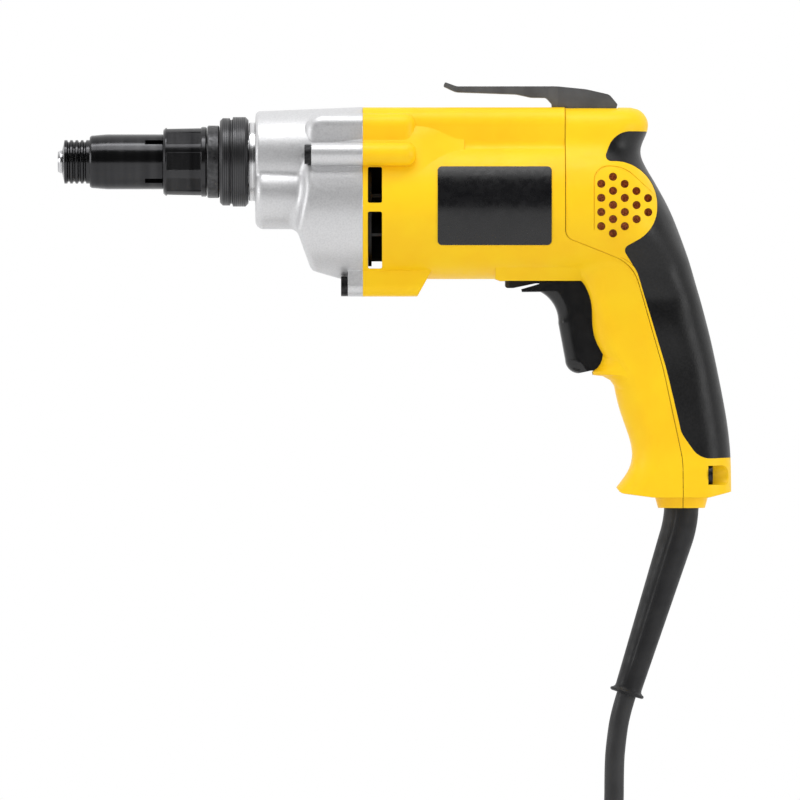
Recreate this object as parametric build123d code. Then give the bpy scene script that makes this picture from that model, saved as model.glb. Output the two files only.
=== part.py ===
from build123d import *
import math
import os

os.makedirs("parts", exist_ok=True)

# Corded pistol-grip screw gun. Millimetres, +Z up. The origin is in the middle of the hand grip,
# the nose points along -X and +Y is the side of the tool away from the viewer of its left side.

# Fits
FIT = 0.05                  # radial play of a running or sliding fit
PLAY = 0.3                  # play between pieces that move past each other

# Axes
SPINDLE_Z = 107.0           # spindle axis above the middle of the grip
MOTOR_DROP = 21.0           # motor axis below the spindle axis

# Motor housing
JOINT_X = -137.0            # plane where the gear case meets the motor housing
BARREL_R = 34.0             # motor barrel, outside
BARREL_WALL = 4.0
HOOD_R = 25.5               # hood over the spindle axis, outside
HOOD_LENGTH = 24.5
HOOD_FADE = 23.0            # length over which the hood runs out into the top of the barrel
HOOD_STEPS = 4
HOOD_END_SINK = 3.0         # its end lies this far inside the barrel
HOOD_ROOM = 27.0            # room inside the hood
SHELF_END_ROUND = 5.0
SHOULDER_HALF = 19.5        # half width of the block along the top of the barrel
SHOULDER_TOP = 46.3         # top of that block above the motor axis
SHOULDER_ROUND = 8.0
SHOULDER_FOOT = 5.0         # hollow rounding where the block meets the barrel
HANDLE_BLEND = 9.0          # hollow rounding where the handle meets the barrel
PARTING_X = -42.5           # plane where the rear cover meets the barrel
SEAM = 0.25                 # width of the seam between the housing halves
HANDLE_WALL = 3.2           # handle wall of the motor housing
COVER_WALL = 5.0            # wall of the rear cover
WEB_LOW = -18.0             # its ends below and above the motor axis
WEB_HIGH = 20.0
SINK = 0.3                  # rear cover lies this much inside the barrel's outline
WEB = 2.0                   # upright rib in the middle of the rear cover, behind the vent holes
VENT_LENGTH = 6.6           # air slots behind the gear case
VENT_INSET = 2.4
VENT_UPPER_LOW = 1.3        # ends of the slots above and below the motor axis
VENT_UPPER_HIGH = 18.1
VENT_LOWER_LOW = -29.2
VENT_LOWER_HIGH = -2.8
VENT_ROUND = 0.9

# Gear case
CASE_LENGTH = 50.3
CASE_WALL = 4.0
BELL_LENGTH = 27.5          # wide rear part of the case
BELL_ROUND = 4.0
BELL_TOP_R = 24.0           # bell over the spindle axis, outside
NOSE_ROUND = 2.0
IDLER_BOSS_ROUND = 4.0
GEAR_CLEAR = 0.8            # room round the gears and dogs
CASE_BLEND = 4.5            # inner corners of the casting
SHELF_HALF = 23.5           # half width of the square shoulders beside the spindle
SHELF_TOP = 22.4            # top of those shoulders above the spindle axis
SHELF_ROUND = 6.0
SHELF_ARCH = 9.0            # rounding of their front upper corner, seen from the side
NOSE_BOSS_R = 23.6          # round boss over the spindle, at its front
NOSE_BOSS_FLARE = 2.1       # growth of that boss towards the motor
IDLER_BOSS_R = 15.5
CASE_SCREW_R = 2.4
CASE_SCREW_HEAD_R = 4.6
CASE_SCREW_HEAD = 3.2
CASE_SCREW_GRIP = 14.0      # thread length in the motor housing
UPPER_LUG_LENGTH = 24.0     # case lug under each upper screw head
UPPER_LUG_R = 5.5
UPPER_BOSS_LENGTH = 25.0    # boss for the same screw on the motor housing
UPPER_SCREW_Y = 29.3
UPPER_SCREW_Z = 110.0
LOWER_LUG_LENGTH = 7.0
LOWER_LUG_R = 4.7
LOWER_LUG_RISE = 5.0        # the lug reaches this far up into the barrel
LOWER_BOSS_LENGTH = 25.5    # boss for the same screws on the motor housing
LOWER_BOSS_SLOPE = 7.3      # rear end, sloping up to the barrel
LOWER_SCREW_Y = 11.0
LOWER_SCREW_Z = 48.6

# Gears: 25 degree stub teeth
PRESSURE_ANGLE = 25.0
ADDENDUM = 0.8
DEDENDUM = 1.1
BACKLASH = 0.1
MOTOR_MODULE = 0.6
MOTOR_TEETH = 10
IDLER_TEETH = 32
SPINDLE_MODULE = 0.8
IDLER_PINION_TEETH = 12
CLUTCH_TEETH = 38
MOTOR_GEAR_WIDTH = 6.0
SPINDLE_GEAR_WIDTH = 10.0

# Nose, from the gear case forward
NECK_LENGTH = 3.1
NECK_R = 18.4
SPIGOT_R = 15.2
SPIGOT_SEAT_R = 14.0
SPIGOT_SEAT_LENGTH = 11.2
LOCK_LENGTH = 13.3
LOCK_R = 21.0
LOCK_FRONT_R = 20.5
LOCK_GROOVE = 0.8
RETAINER = 1.2
RETAINER_DEPTH = 0.8
RETAINER_R = 16.8
DETENT_LENGTH = 5.6
DETENT_R = 17.0
ADJUST_LENGTH = 20.3
ADJUST_R = 16.2
ADJUST_LANDS = 8
ADJUST_POCKET = 8.3
ADJUST_POCKET_DEPTH = 0.9
TUBE_LENGTH = 34.2
TUBE_R = 12.9
TUBE_SLEEVE_R = 12.5
TUBE_CONE = 8.0
TUBE_SLOTS = 4
SLOT_WIDTH = 2.8
SLOT_OPEN = 8.2             # slot length in sight in front of the adjusting collar
LOCATOR_REACH = 13.0
LOCATOR_R = 10.25
LOCATOR_BORE_R = 6.0
LOCATOR_LENGTH = 61.0
LOCATOR_TRAVEL = 5.0
RIB_PITCH = 2.5
RIB_DEPTH = 0.9
RIBS = 4
LUG_LENGTH = 3.5
LUG_RISE = 0.9
TIP_LENGTH = 2.0
TIP_R = 5.35
TIP_FRONT_R = 4.7
TIP_BORE_R = 3.9
TIP_WALL = 0.6
TIP_SLEEVE = 4.0

# Spindle and clutch
SPINDLE_R = 7.0
SPINDLE_REACH = 31.0        # spindle in front of its flange
FLANGE_R = 13.5
FLANGE = 4.0
TAIL_R = 4.0
HEX_FLATS = 6.35
HEX_PLAY = 0.05
SHANK_LENGTH = 17.0
HOLDER_R = 5.25
HOLDER_LENGTH = 57.0
BIT_DEPTH = 12.0
MAGNET_R = 2.6
MAGNET = 3.0
CLIP_RING = 0.8
WASHER = 2.0
WASHER_R = 11.0
DOGS = 3
DOG_ANGLE = 30.0
DOG_REST_ANGLE = 39.0       # spindle dogs turned past the gear's at rest
DOG_HEIGHT = 2.3
DOG_GAP = 0.8               # free space between the dogs at rest
DOG_INNER_R = 8.6
DOG_OUTER_R = 13.0
SLIDE_TRAVEL = 3.0
CLUTCH_RIM = 1.5
SPRING_POCKET = 6.0
CLUTCH_SPRING_R = 6.2
CLUTCH_SPRING_WIRE = 1.1
BUSH_WALL = 3.2
FRONT_BUSH = 10.0
REAR_BUSH = 7.0
TAIL_BUSH_WALL = 2.5

# Idler
IDLER_FRONT_R = 3.0
IDLER_REAR_R = 2.6
IDLER_FRONT_BUSH = 10.0
IDLER_REAR_BUSH = 2.8
IDLER_BUSH_WALL = 1.6
IDLER_SEAT_R = 3.7          # seat of the larger gear

# Motor
PLATE = 9.0                 # bearing plate that closes the gear case
SHAFT_R = 3.5
BEARING_R = 9.5
BEARING = 6.0
BEARING_SINK = 5.0          # bearing depth in the plate
FAN_R = 28.0
FAN = 7.0
FAN_BLADES = 9
FAN_CLEAR = 1.5
BAFFLE = 2.0
BAFFLE_BORE_R = 20.0
CORE_R = 16.2
CORE_LENGTH = 44.0
CORE_START = 19.0           # armature core behind the gear case joint
CORE_SLOTS = 12
CORE_SLOT = 3.0
CORE_SLOT_FLOOR_R = 10.5
FIELD_GAP = 0.6
FIELD_RING = 5.0
POLE_ANGLE = 46.0
COIL_ANGLE = 66.0
COIL_END = 5.0
WINDING_END = 5.5
WINDING_R = 14.5
WINDING_BAR = 2.6           # copper in a slot of the core
COMMUTATOR_R = 11.0
COMMUTATOR = 14.0
COMMUTATOR_SPACE = 6.0
COMMUTATOR_BARS = 24
BRUSH_WIDTH = 6.5
BRUSH_DEPTH = 9.0
BRUSH_LENGTH = 9.0
BRUSH_GAP = 0.1
BRUSH_PLAY = 0.15
BRUSH_SPRING_R = 2.2
BRUSH_SPRING_WIRE = 0.6
HOLDER_WALL = 1.5
HOLDER_CAP = 2.0
SPIDER = 4.0
SPIDER_HUB_WALL = 2.2
SPIDER_ARM = 7.0
REAR_BEARING_SPACE = 3.0

# Handle inside
SWITCH_FRONT = -14.0
SWITCH_LENGTH = 22.0
SWITCH_HALF = 11.0
SWITCH_BOTTOM = 14.0
SWITCH_TOP = 47.3
TRIGGER_HALF = 9.3
TRIGGER_TRAVEL = 7.0
TRIGGER_BACK = -23.5
TRIGGER_TOP = 49.7
TRIGGER_RAIL = 1.3          # rails beside the reversing lever on top of the trigger
TRIGGER_RAIL_WIDTH = 1.1
TRIGGER_WING = -62.8        # front end of the trigger's upper lip
TRIGGER_WING_Z = 46.9
TRIGGER_EDGE = 5.2          # rounding of the trigger's front
HORN_HALF = 17.2            # lip under the trigger
HORN_REAR = -2.0
HORN_ROUND = 10.0
HORN_LINE = [               # its height and front
    (-1.5, -16.6), (2.4, -19.4), (4.6, -21.0), (6.5, -24.5), (7.1, -29.5), (8.6, -29.8),
    (10.2, -27.6), (12.0, -26.2), (14.0, -25.4), (17.0, -24.8),
]
TRIGGER_BOTTOM = 7.8
STEM_Z = 30.0
STEM_R = 3.0
STEM_REACH = 5.0            # stem inside the switch at rest
TRIGGER_SPRING_R = 4.6
TRIGGER_SPRING_WIRE = 0.8
TRIGGER_POCKET = 8.0
LEVER_X = -40.0
LEVER_BOTTOM = 50.0
LEVER = 1.3
LEVER_TIP_BOTTOM = 47.8     # the finger end is thicker than the plate
LEVER_TIP_LENGTH = 3.9
LEVER_WEDGE = 10.5          # length of the slope between them
LEVER_ROOM_HALF = 10.2
GUARD_FRONT = -75.0         # ribs under the barrel, on both sides of the lever
GUARD_REAR = -34.0
GUARD_INNER = 10.4
GUARD_OUTER = 12.0
GUARD_RISE = 9.0            # the ribs reach this far up into the barrel
GUARD_SPREAD = 10.0         # and are this much wider there
GUARD_BOTTOM = 51.1
GUARD_SLOPE = 2.5
LEVER_HUB_R = 5.0
LEVER_PIN_R = 2.0
LEVER_FRONT = -70.4
LEVER_REAR = -19.0

# Handle base and cord
CORD_X = 12.4
CORD_R = 4.7
BASE_FLOOR = -46.0          # inside of the handle's base
COLLAR_R = 12.5
COLLAR_BOTTOM = -55.3
BOOT_R = 8.1
BOOT_END_R = 6.2
BOOT_FLANGE_R = 9.8
BOOT_FLANGE = 2.5
BOOT_RIM_R = 8.2
BOOT_RIM = 2.2
BOOT_PLAY = 0.2             # room for the protector's bend in the base
BOOT_BEND_Z = -61.3
BOOT_BEND_R = 55.0
BOOT_END_X = -13.4
BOOT_END_Z = -142.7
JACKET_TOP = -22.0
CLAMP_HALF = 11.0
CLAMP_LOW = -35.0
CLAMP_HEIGHT = 8.0
CLAMP_DEPTH = 6.5
CLAMP_SCREW_Y = 8.0
CLAMP_SCREW_R = 1.5
CLAMP_SCREW_LENGTH = 16.0
CLAMP_SCREW_HEAD = 2.0
COVER_SCREW_Y = 14.6
COVER_SCREW_Z = -39.9
COVER_SCREW_R = 2.0
COVER_SCREW_HEAD_R = 4.4
COVER_SCREW_HEAD = 2.1
COVER_SCREW_SEAT = 24.6
COVER_SCREW_LENGTH = 21.0
COVER_BOSS_R = 4.6
COVER_POCKET = 8.4          # length of the pocket behind each screw head, open to the side
COVER_POCKET_WALL = 1.8

# Skin of the handle
GRIP_THICKNESS = 2.5
PLATE_FRONT = -102.0
PLATE_REAR = -48.8
PLATE_HEIGHT = 36.8
PLATE_ROUND = 2.0
PLATE_THICKNESS = 0.35
HOLE_R = 1.9
HOLE_COLUMN = 5.5
HOLE_ROW = 6.6
HOLES_X = -20.2
HOLE_COLUMNS = (4, 5, 4, 3, 2)
LINE = 0.35                 # fine lines moulded in the rear cover
LINE_DEPTH = 0.3
BEAD = 1.9                  # bead between the seam and the soft grip

# Belt clip
CLIP_SEAT_Z = 131.0
CLIP_FRONT = -41.5
CLIP_REAR = -18.5
CLIP_LEAN = 0.8             # slope of the clip's rear end
CLIP_HALF = 8.0
CLIP_SCREW_X = -33.0
CLIP_SCREW_R = 2.0
CLIP_SCREW_HEAD_R = 4.0
CLIP_SCREW_HEAD = 2.4
CLIP_SCREW_LENGTH = 10.0
CLIP_SCREW_RISE = 4.0       # screw head above the clip's seat
CLIP_TIP = -101.0
CLIP_ARM_HALF = 6.0         # half width of the clip's long arm

# Cord that hangs and its coil
COIL_OUTER = 64.0           # radius of the outermost turn's middle
COIL_PITCH = 10.0
COIL_LAYERS = 4
LAYER_NODES = 7
LAYER_TURNS = 1.56
DROP_X = -19.2
DROP_BEND_R = 53.0
DROP_BEND_TOP = -190.0
DROP_BEND_STEPS = 3
DROP_LEAD = 16.0
TIE_WIDTH = 12.0
TIE = 1.3
TIE_PLAY = 1.2
TIE_TURN = 0.68             # place of the tie round the coil, in turns from its start
TAIL_RUN = 18.0
PLUG_LENGTH = 36.0
PLUG_HALF_WIDTH = 12.5
PLUG_HALF_HEIGHT = 7.0
BLADE_LENGTH = 16.0
BLADE_SPACING = 12.7
BLADE_WIDTH = 6.3
BLADE_THICKNESS = 1.5

# Places that follow from the sizes above
MOTOR_Z = SPINDLE_Z - MOTOR_DROP
SPINDLE = (0.0, SPINDLE_Z)
MOTOR = (0.0, MOTOR_Z)
STAGE_1 = MOTOR_MODULE * (MOTOR_TEETH + IDLER_TEETH) / 2
STAGE_2 = SPINDLE_MODULE * (IDLER_PINION_TEETH + CLUTCH_TEETH) / 2
IDLER_RISE = (STAGE_1 ** 2 - STAGE_2 ** 2 + MOTOR_DROP ** 2) / (2 * MOTOR_DROP)
IDLER = (-math.sqrt(STAGE_1 ** 2 - IDLER_RISE ** 2), MOTOR_Z + IDLER_RISE)
BORE_R = BARREL_R - BARREL_WALL

CASE_FRONT = JOINT_X - CASE_LENGTH
NECK_FRONT = CASE_FRONT - NECK_LENGTH
LOCK_REAR = NECK_FRONT - PLAY
LOCK_FRONT = LOCK_REAR - LOCK_LENGTH
DETENT_REAR = LOCK_FRONT - PLAY
DETENT_FRONT = DETENT_REAR - DETENT_LENGTH
ADJUST_REAR = DETENT_FRONT - PLAY
ADJUST_FRONT = ADJUST_REAR - ADJUST_LENGTH
TUBE_STEP = ADJUST_FRONT - PLAY
TUBE_FRONT = TUBE_STEP - TUBE_LENGTH
LOCATOR_FRONT = TUBE_FRONT - LOCATOR_REACH
LOCATOR_REAR = LOCATOR_FRONT + LOCATOR_LENGTH
TIP_FRONT = LOCATOR_FRONT - TIP_LENGTH
TUBE_BORE_R = LOCATOR_R + PLAY
SLEEVE_BORE_R = TUBE_SLEEVE_R + FIT
LUG_REAR = LOCATOR_REAR - 2.0
LUG_FRONT = LUG_REAR - LUG_LENGTH
LUG_R = TUBE_SLEEVE_R + LUG_RISE
SPIGOT_FRONT = LOCK_FRONT + PLAY
SPIGOT_REAR = CASE_FRONT + SPIGOT_SEAT_LENGTH

WASHER_FRONT = SPIGOT_REAR + FIT
FLANGE_FRONT = WASHER_FRONT + WASHER + FIT
FLANGE_REAR = FLANGE_FRONT + FLANGE
SPINDLE_FRONT = FLANGE_FRONT - SPINDLE_REACH
CLUTCH_FACE = FLANGE_REAR + DOG_HEIGHT + DOG_GAP + DOG_HEIGHT
CLUTCH_TEETH_FRONT = CLUTCH_FACE + CLUTCH_RIM
CLUTCH_TEETH_REAR = CLUTCH_TEETH_FRONT + SPINDLE_GEAR_WIDTH
PLATE_FACE = JOINT_X - PLATE
MOTOR_GEAR_REAR = PLATE_FACE - PLAY - FIT
MOTOR_GEAR_FRONT = MOTOR_GEAR_REAR - MOTOR_GEAR_WIDTH
HOLDER_FRONT = SPINDLE_FRONT - HOLDER_LENGTH

BEARING_FRONT = JOINT_X - BEARING_SINK
FAN_FRONT = JOINT_X + 2.5
FAN_REAR = FAN_FRONT + FAN
BAFFLE_FRONT = FAN_REAR + FAN_CLEAR
CORE_FRONT = JOINT_X + CORE_START
CORE_REAR = CORE_FRONT + CORE_LENGTH
COMMUTATOR_FRONT = CORE_REAR + WINDING_END + COMMUTATOR_SPACE
COMMUTATOR_REAR = COMMUTATOR_FRONT + COMMUTATOR
REAR_BEARING = COMMUTATOR_REAR + REAR_BEARING_SPACE
SHAFT_SEAT = SHAFT_R + FIT / 2
SHAFT_REAR = REAR_BEARING + BEARING
BRUSH_X = COMMUTATOR_FRONT + COMMUTATOR / 2
BRUSH_OUT = COMMUTATOR_R + BRUSH_GAP + BRUSH_LENGTH
HOLDER_HALF = BRUSH_WIDTH / 2 + BRUSH_PLAY + HOLDER_WALL
HOLDER_TOP = math.sqrt(BORE_R ** 2 - HOLDER_HALF ** 2) - BRUSH_PLAY
FIELD_R = CORE_R + FIELD_GAP

TUBE_REAR = NECK_FRONT - 2.5
RELIEF_FRONT = LUG_FRONT - LOCATOR_TRAVEL - 0.8
RELIEF_REAR = LUG_REAR + LOCATOR_TRAVEL + 0.8
RETAINER_FRONT = SPIGOT_FRONT + PLAY
RETAINER_REAR = RETAINER_FRONT + RETAINER
CLUTCH_TIP_R = SPINDLE_MODULE * (CLUTCH_TEETH / 2 + ADDENDUM)
IDLER_TIP_R = MOTOR_MODULE * (IDLER_TEETH / 2 + ADDENDUM)
IDLER_PINION_TIP_R = SPINDLE_MODULE * (IDLER_PINION_TEETH / 2 + ADDENDUM)
GEAR_ROOM = CLUTCH_TEETH_FRONT - GEAR_CLEAR
IDLER_BUSH_REAR = GEAR_ROOM - 1.0
IDLER_BUSH_FRONT = IDLER_BUSH_REAR - IDLER_FRONT_BUSH
IDLER_FRONT_BUSH_R = IDLER_FRONT_R + FIT + IDLER_BUSH_WALL
IDLER_REAR_BUSH_R = IDLER_REAR_R + FIT + IDLER_BUSH_WALL
FRONT_BUSH_R = SPINDLE_R + FIT + BUSH_WALL
FRONT_BUSH_X = SPIGOT_REAR - FRONT_BUSH
REAR_BUSH_R = TAIL_R + FIT + TAIL_BUSH_WALL
STEM_END = SWITCH_FRONT + STEM_REACH
SPRING_ROOM_R = CLUTCH_SPRING_R + CLUTCH_SPRING_WIRE / 2 + PLAY


# Shapes along the X axis

def axis_plane(axis, x):
    return Plane(origin=(x, axis[0], axis[1]), x_dir=(0, 1, 0), z_dir=(1, 0, 0))


def rod(axis, radius, front, rear):
    return extrude(axis_plane(axis, front) * Circle(radius), rear - front)


def pipe(axis, outer, inner, front, rear):
    return extrude(axis_plane(axis, front) * (Circle(outer) - Circle(inner)), rear - front)


def hex_rod(axis, flats, front, rear):
    return extrude(axis_plane(axis, front) * RegularPolygon(flats / 2, 6, major_radius=False), rear - front)


def turned(axis, outline):
    face = make_face(Polyline(*[(x, axis[0], axis[1] + r) for x, r in outline], close=True))
    return revolve(face, Axis((0, axis[0], axis[1]), (1, 0, 0)))


def block(front, rear, half, low, high):
    return Pos((front + rear) / 2, 0, (low + high) / 2) * Box(rear - front, 2 * half, high - low)


def around(axis, piece, angle):
    return piece.rotate(Axis((0, axis[0], axis[1]), (1, 0, 0)), angle)


def slab(outline, half):
    return extrude(Plane.XZ * outline, half, both=True)


def rounded_edges(points, radii):
    # straight runs joined by tangent arcs; radii has one value for each inner point
    spots = [Vector(*point) for point in points]
    edges = []
    start = spots[0]
    for before, corner, after, radius in zip(spots, spots[1:], spots[2:], radii):
        back = (before - corner).normalized()
        ahead = (after - corner).normalized()
        half_turn = math.pi / 2 - math.radians(back.get_angle(ahead)) / 2
        cut = radius * math.tan(half_turn)
        middle = corner + (back + ahead).normalized() * (radius / math.cos(half_turn) - radius)
        edges.append(Line(start, corner + back * cut))
        edges.append(ThreePointArc(corner + back * cut, middle, corner + ahead * cut))
        start = corner + ahead * cut
    edges.append(Line(start, spots[-1]))
    return edges


def rounded_region(points, radii, closing):
    # closing points lie outside the object and finish the outline with straight lines
    edge = rounded_edges(points, radii)
    frame = Polyline(*([points[-1]] + closing + [points[0]]))
    return make_face(edge + frame.edges())


def hull_face(motor_r, spindle_r):
    lower = Pos(*MOTOR) * Circle(motor_r)
    upper = Pos(*SPINDLE) * Circle(spindle_r)
    return make_hull(lower.edges() + upper.edges())


def hull_block(motor_r, spindle_r, front, rear):
    return extrude(Plane.YZ.offset(front) * hull_face(motor_r, spindle_r), rear - front)


def shelf_block(front, rear):
    # square shoulders on both sides of the spindle axis
    face = Pos(0, SPINDLE_Z + SHELF_TOP / 2) * Rectangle(2 * SHELF_HALF, SHELF_TOP)
    face = fillet([v for v in face.vertices() if v.Y > SPINDLE_Z + 1], SHELF_ROUND)
    return extrude(Plane.YZ.offset(front) * face, rear - front)


def group(pieces):
    return Compound(children=list(pieces))


# Paths of round wire: tangent arcs in pairs, so that every joint is smooth

def arc_between(start, tangent, end):
    chord = end - start
    along = chord.normalized()
    aside = tangent - along * tangent.dot(along)
    half_turn = math.acos(max(-1.0, min(1.0, tangent.dot(along))))
    sagitta = chord.length / 2 * math.tan(half_turn / 2)
    middle = start + chord * 0.5 + aside.normalized() * sagitta
    return ThreePointArc(start, middle, end)


def biarc(start, leave, end, arrive):
    chord = end - start
    bend = 2 * (1 - leave.dot(arrive))
    pull = chord.dot(leave + arrive)
    reach = (math.sqrt(pull ** 2 + bend * chord.dot(chord)) - pull) / bend
    meet = (start + end + (leave - arrive) * reach) * 0.5
    passing = ((end - arrive * reach) - (start + leave * reach)).normalized()
    return [arc_between(start, leave, meet), arc_between(meet, passing, end)]


def wire_through(points, tangents):
    edges = []
    for i in range(len(points) - 1):
        edges += biarc(points[i], tangents[i], points[i + 1], tangents[i + 1])
    return edges


def round_wire(edges, radius):
    path = Wire(edges)
    section = Plane(origin=path @ 0, z_dir=path % 0) * Circle(radius)
    return sweep(section, path=path)


def least_gap(edges, radius):
    points = []
    for edge in edges:
        steps = max(2, int(edge.length / 3))
        points += [edge @ (i / steps) for i in range(steps)]
    ahead = int(10 * radius / 3)
    gaps = [
        (points[i] - points[j]).length
        for i in range(len(points))
        for j in range(i + ahead, len(points))
    ]
    return min(gaps) - 2 * radius


def spring(centre, direction, mean_r, wire, length, turns):
    lift = length - wire
    side = Plane(origin=centre, z_dir=direction)
    nodes = int(turns * 4)
    points = []
    tangents = []
    for i in range(nodes + 1):
        angle = math.pi / 2 * i
        local = Vector(mean_r * math.cos(angle), mean_r * math.sin(angle), wire / 2 + lift * i / nodes)
        slope = lift / (nodes * math.pi / 2)
        heading = Vector(-mean_r * math.sin(angle), mean_r * math.cos(angle), slope)
        points.append(side.from_local_coords(local))
        tangents.append((side.from_local_coords(heading) - side.origin).normalized())
    return round_wire(wire_through(points, tangents), wire / 2)


# Gears

def involute(angle):
    return math.tan(angle) - angle


def gear_face(module, teeth, phase):
    pitch_r = module * teeth / 2
    base_r = pitch_r * math.cos(math.radians(PRESSURE_ANGLE))
    root_r = pitch_r - DEDENDUM * module
    tip_r = pitch_r + ADDENDUM * module
    flank_r = max(base_r, root_r)
    pitch_half = (math.pi * module / 2 - BACKLASH) / 2 / pitch_r

    def half_angle(radius):
        return pitch_half + involute(math.radians(PRESSURE_ANGLE)) - involute(math.acos(base_r / radius))

    def spot(radius, angle):
        return Vector(radius * math.cos(angle), radius * math.sin(angle))

    edges = []
    middle_r = (flank_r + tip_r) / 2
    step = 2 * math.pi / teeth
    for tooth in range(teeth):
        angle = phase + tooth * step
        foot = half_angle(flank_r)
        waist = half_angle(middle_r)
        crown = half_angle(tip_r)
        if flank_r > root_r:
            edges.append(Line(spot(root_r, angle - foot), spot(flank_r, angle - foot)))
        edges.append(ThreePointArc(
            spot(flank_r, angle - foot), spot(middle_r, angle - waist), spot(tip_r, angle - crown)))
        edges.append(Line(spot(tip_r, angle - crown), spot(tip_r, angle + crown)))
        edges.append(ThreePointArc(
            spot(tip_r, angle + crown), spot(middle_r, angle + waist), spot(flank_r, angle + foot)))
        if flank_r > root_r:
            edges.append(Line(spot(flank_r, angle + foot), spot(root_r, angle + foot)))
        edges.append(Line(spot(root_r, angle + foot), spot(root_r, angle + step - foot)))
    return make_face(edges)


def gear(axis, module, teeth, phase, front, rear):
    return extrude(axis_plane(axis, front) * gear_face(module, teeth, phase), rear - front)


MOTOR_MESH = math.atan2(IDLER[1] - MOTOR[1], IDLER[0] - MOTOR[0])
SPINDLE_MESH = math.atan2(SPINDLE[1] - IDLER[1], SPINDLE[0] - IDLER[0])


# Skin of the handle and the rear of the housing: level sections, each a rounded rectangle

def chord(rise):
    return math.sqrt(BARREL_R ** 2 - rise ** 2)


# height, front, rear, half width, front corner, rear corner
HANDLE_SECTIONS = [
    (-57.0, -15.5, 35.6, 18.8, 13.0, 15.0),
    (-45.0, -17.6, 35.6, 19.2, 13.0, 15.0),
    (-36.0, -11.8, 35.5, 18.5, 13.0, 15.0),
    (-22.0, -12.2, 34.6, 17.9, 13.0, 15.5),
    (0.0, -18.8, 31.0, 17.8, 13.0, 15.5),
    (18.0, -25.4, 27.3, 17.9, 8.0, 15.5),
    (36.0, -29.7, 22.9, 18.2, 7.0, 16.0),
    (48.0, -32.6, 19.5, 19.0, 8.0, 16.5),
]
# rise above the motor axis, front, rear, half width, front corner, rear corner
BACK_SECTIONS = [
    (-31.0, -37.5, 17.5, 20.6, 13.0, 18.0),
    (-25.0, -45.0, 15.7, chord(25.0) + 0.2, 12.0, 20.5),
    (-19.0, -50.0, 13.6, chord(19.0) - SINK, 11.0, 25.0),
    (-11.0, -51.0, 10.6, chord(11.0) - SINK, 11.0, 28.0),
    (0.0, -51.0, 5.9, chord(0.0) - SINK, 11.0, 30.0),
    (10.0, -51.0, 0.5, chord(10.0) - SINK, 11.0, 29.0),
    (18.0, -51.0, -4.2, chord(18.0) - SINK, 10.0, 25.5),
    (24.0, -51.0, -6.7, chord(24.0) - SINK, 9.0, 21.0),
    (30.0, -51.0, -5.9, SHOULDER_HALF + 0.8, 8.0, 17.5),
    (37.0, -51.0, -3.4, SHOULDER_HALF - SINK, 7.0, 15.5),
    (42.0, -51.0, -4.4, SHOULDER_HALF - 2.5, 6.0, 14.0),
    (45.0, -51.0, -7.2, SHOULDER_HALF - 6.9, 5.0, 10.0),
    (SHOULDER_TOP, -51.0, -11.0, SHOULDER_HALF - 12.5, 3.0, 5.0),
]

# the same for the root of the handle inside the motor barrel
ROOT_SECTIONS = [
    (-31.0, -37.0, 17.5, 20.2, 13.0, 17.0),
    (-22.0, -41.5, 14.5, 20.8, 13.0, 17.0),
    (-8.0, -44.0, 9.5, 20.8, 13.0, 17.0),
]


def section_wire(height, front, rear, half, front_round, rear_round):
    def corner(x, y, radius, quarter):
        return CenterArc((x, y, height), radius, 90 * quarter, 90)
    front_x = front + front_round
    rear_x = rear - rear_round
    front_y = half - front_round
    rear_y = half - rear_round
    return Wire([
        corner(rear_x, rear_y, rear_round, 0),
        Line((rear_x, half, height), (front_x, half, height)),
        corner(front_x, front_y, front_round, 1),
        Line((front, front_y, height), (front, -front_y, height)),
        corner(front_x, -front_y, front_round, 2),
        Line((front_x, -half, height), (rear_x, -half, height)),
        corner(rear_x, -rear_y, rear_round, 3),
        Line((rear, -rear_y, height), (rear, rear_y, height)),
    ])


def skin(upper_sections, inset=0.0):
    least_round = 0.4
    upper = [(MOTOR_Z + section[0],) + section[1:] for section in upper_sections]
    wires = []
    for height, front, rear, half, front_round, rear_round in HANDLE_SECTIONS + upper:
        wires.append(section_wire(
            height, front + inset, rear - inset, half - inset,
            max(front_round - inset, least_round), max(rear_round - inset, least_round)))
    return Solid.make_loft(wires)


COVER_SKIN = skin(BACK_SECTIONS)
COVER_ROOM = skin(BACK_SECTIONS, COVER_WALL)
GRIP_SEAT = skin(BACK_SECTIONS, GRIP_THICKNESS)
LINE_FLOOR = skin(BACK_SECTIONS, LINE_DEPTH)
HANDLE_SKIN = skin(ROOT_SECTIONS)
HANDLE_ROOM = skin(ROOT_SECTIONS, HANDLE_WALL)


# Seam between the motor housing and the rear cover, and the underside of the handle, from the side

def seam_region(shift, far):
    top = MOTOR_Z + SHOULDER_TOP + 20.0
    line = [
        (PARTING_X + shift, top),
        (PARTING_X + shift, MOTOR_Z - 14.7),
        (-10.7 + shift, 58.8),
        (3.4 + shift, 9.9),
        (12.6 + shift, -33.0),
        (13.0 + shift, -80.0),
    ]
    return slab(rounded_region(line, [5.0, 18.0, 100.0, 40.0], [(far, -80.0), (far, top)]), 60.0)


def base_region():
    line = [
        (-60.0, -44.0), (-19.4, -44.0), (-16.0, -48.4), (-0.9, -50.4), (24.8, -50.4), (36.5, -47.4),
        (60.0, -46.2),
    ]
    return slab(rounded_region(line, [1.0, 3.0, 8.0, 8.0, 4.0], [(60.0, -90.0), (-60.0, -90.0)]), 60.0)


def upright(x, y, radius, low, high):
    return Pos(x, y, (low + high) / 2) * Cylinder(radius, high - low)


def base_collar():
    top = -50.0
    height = top - COLLAR_BOTTOM
    return Pos(CORD_X, 0, COLLAR_BOTTOM + height / 2) * Cone(COLLAR_R - 1.5, COLLAR_R, height)


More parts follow.
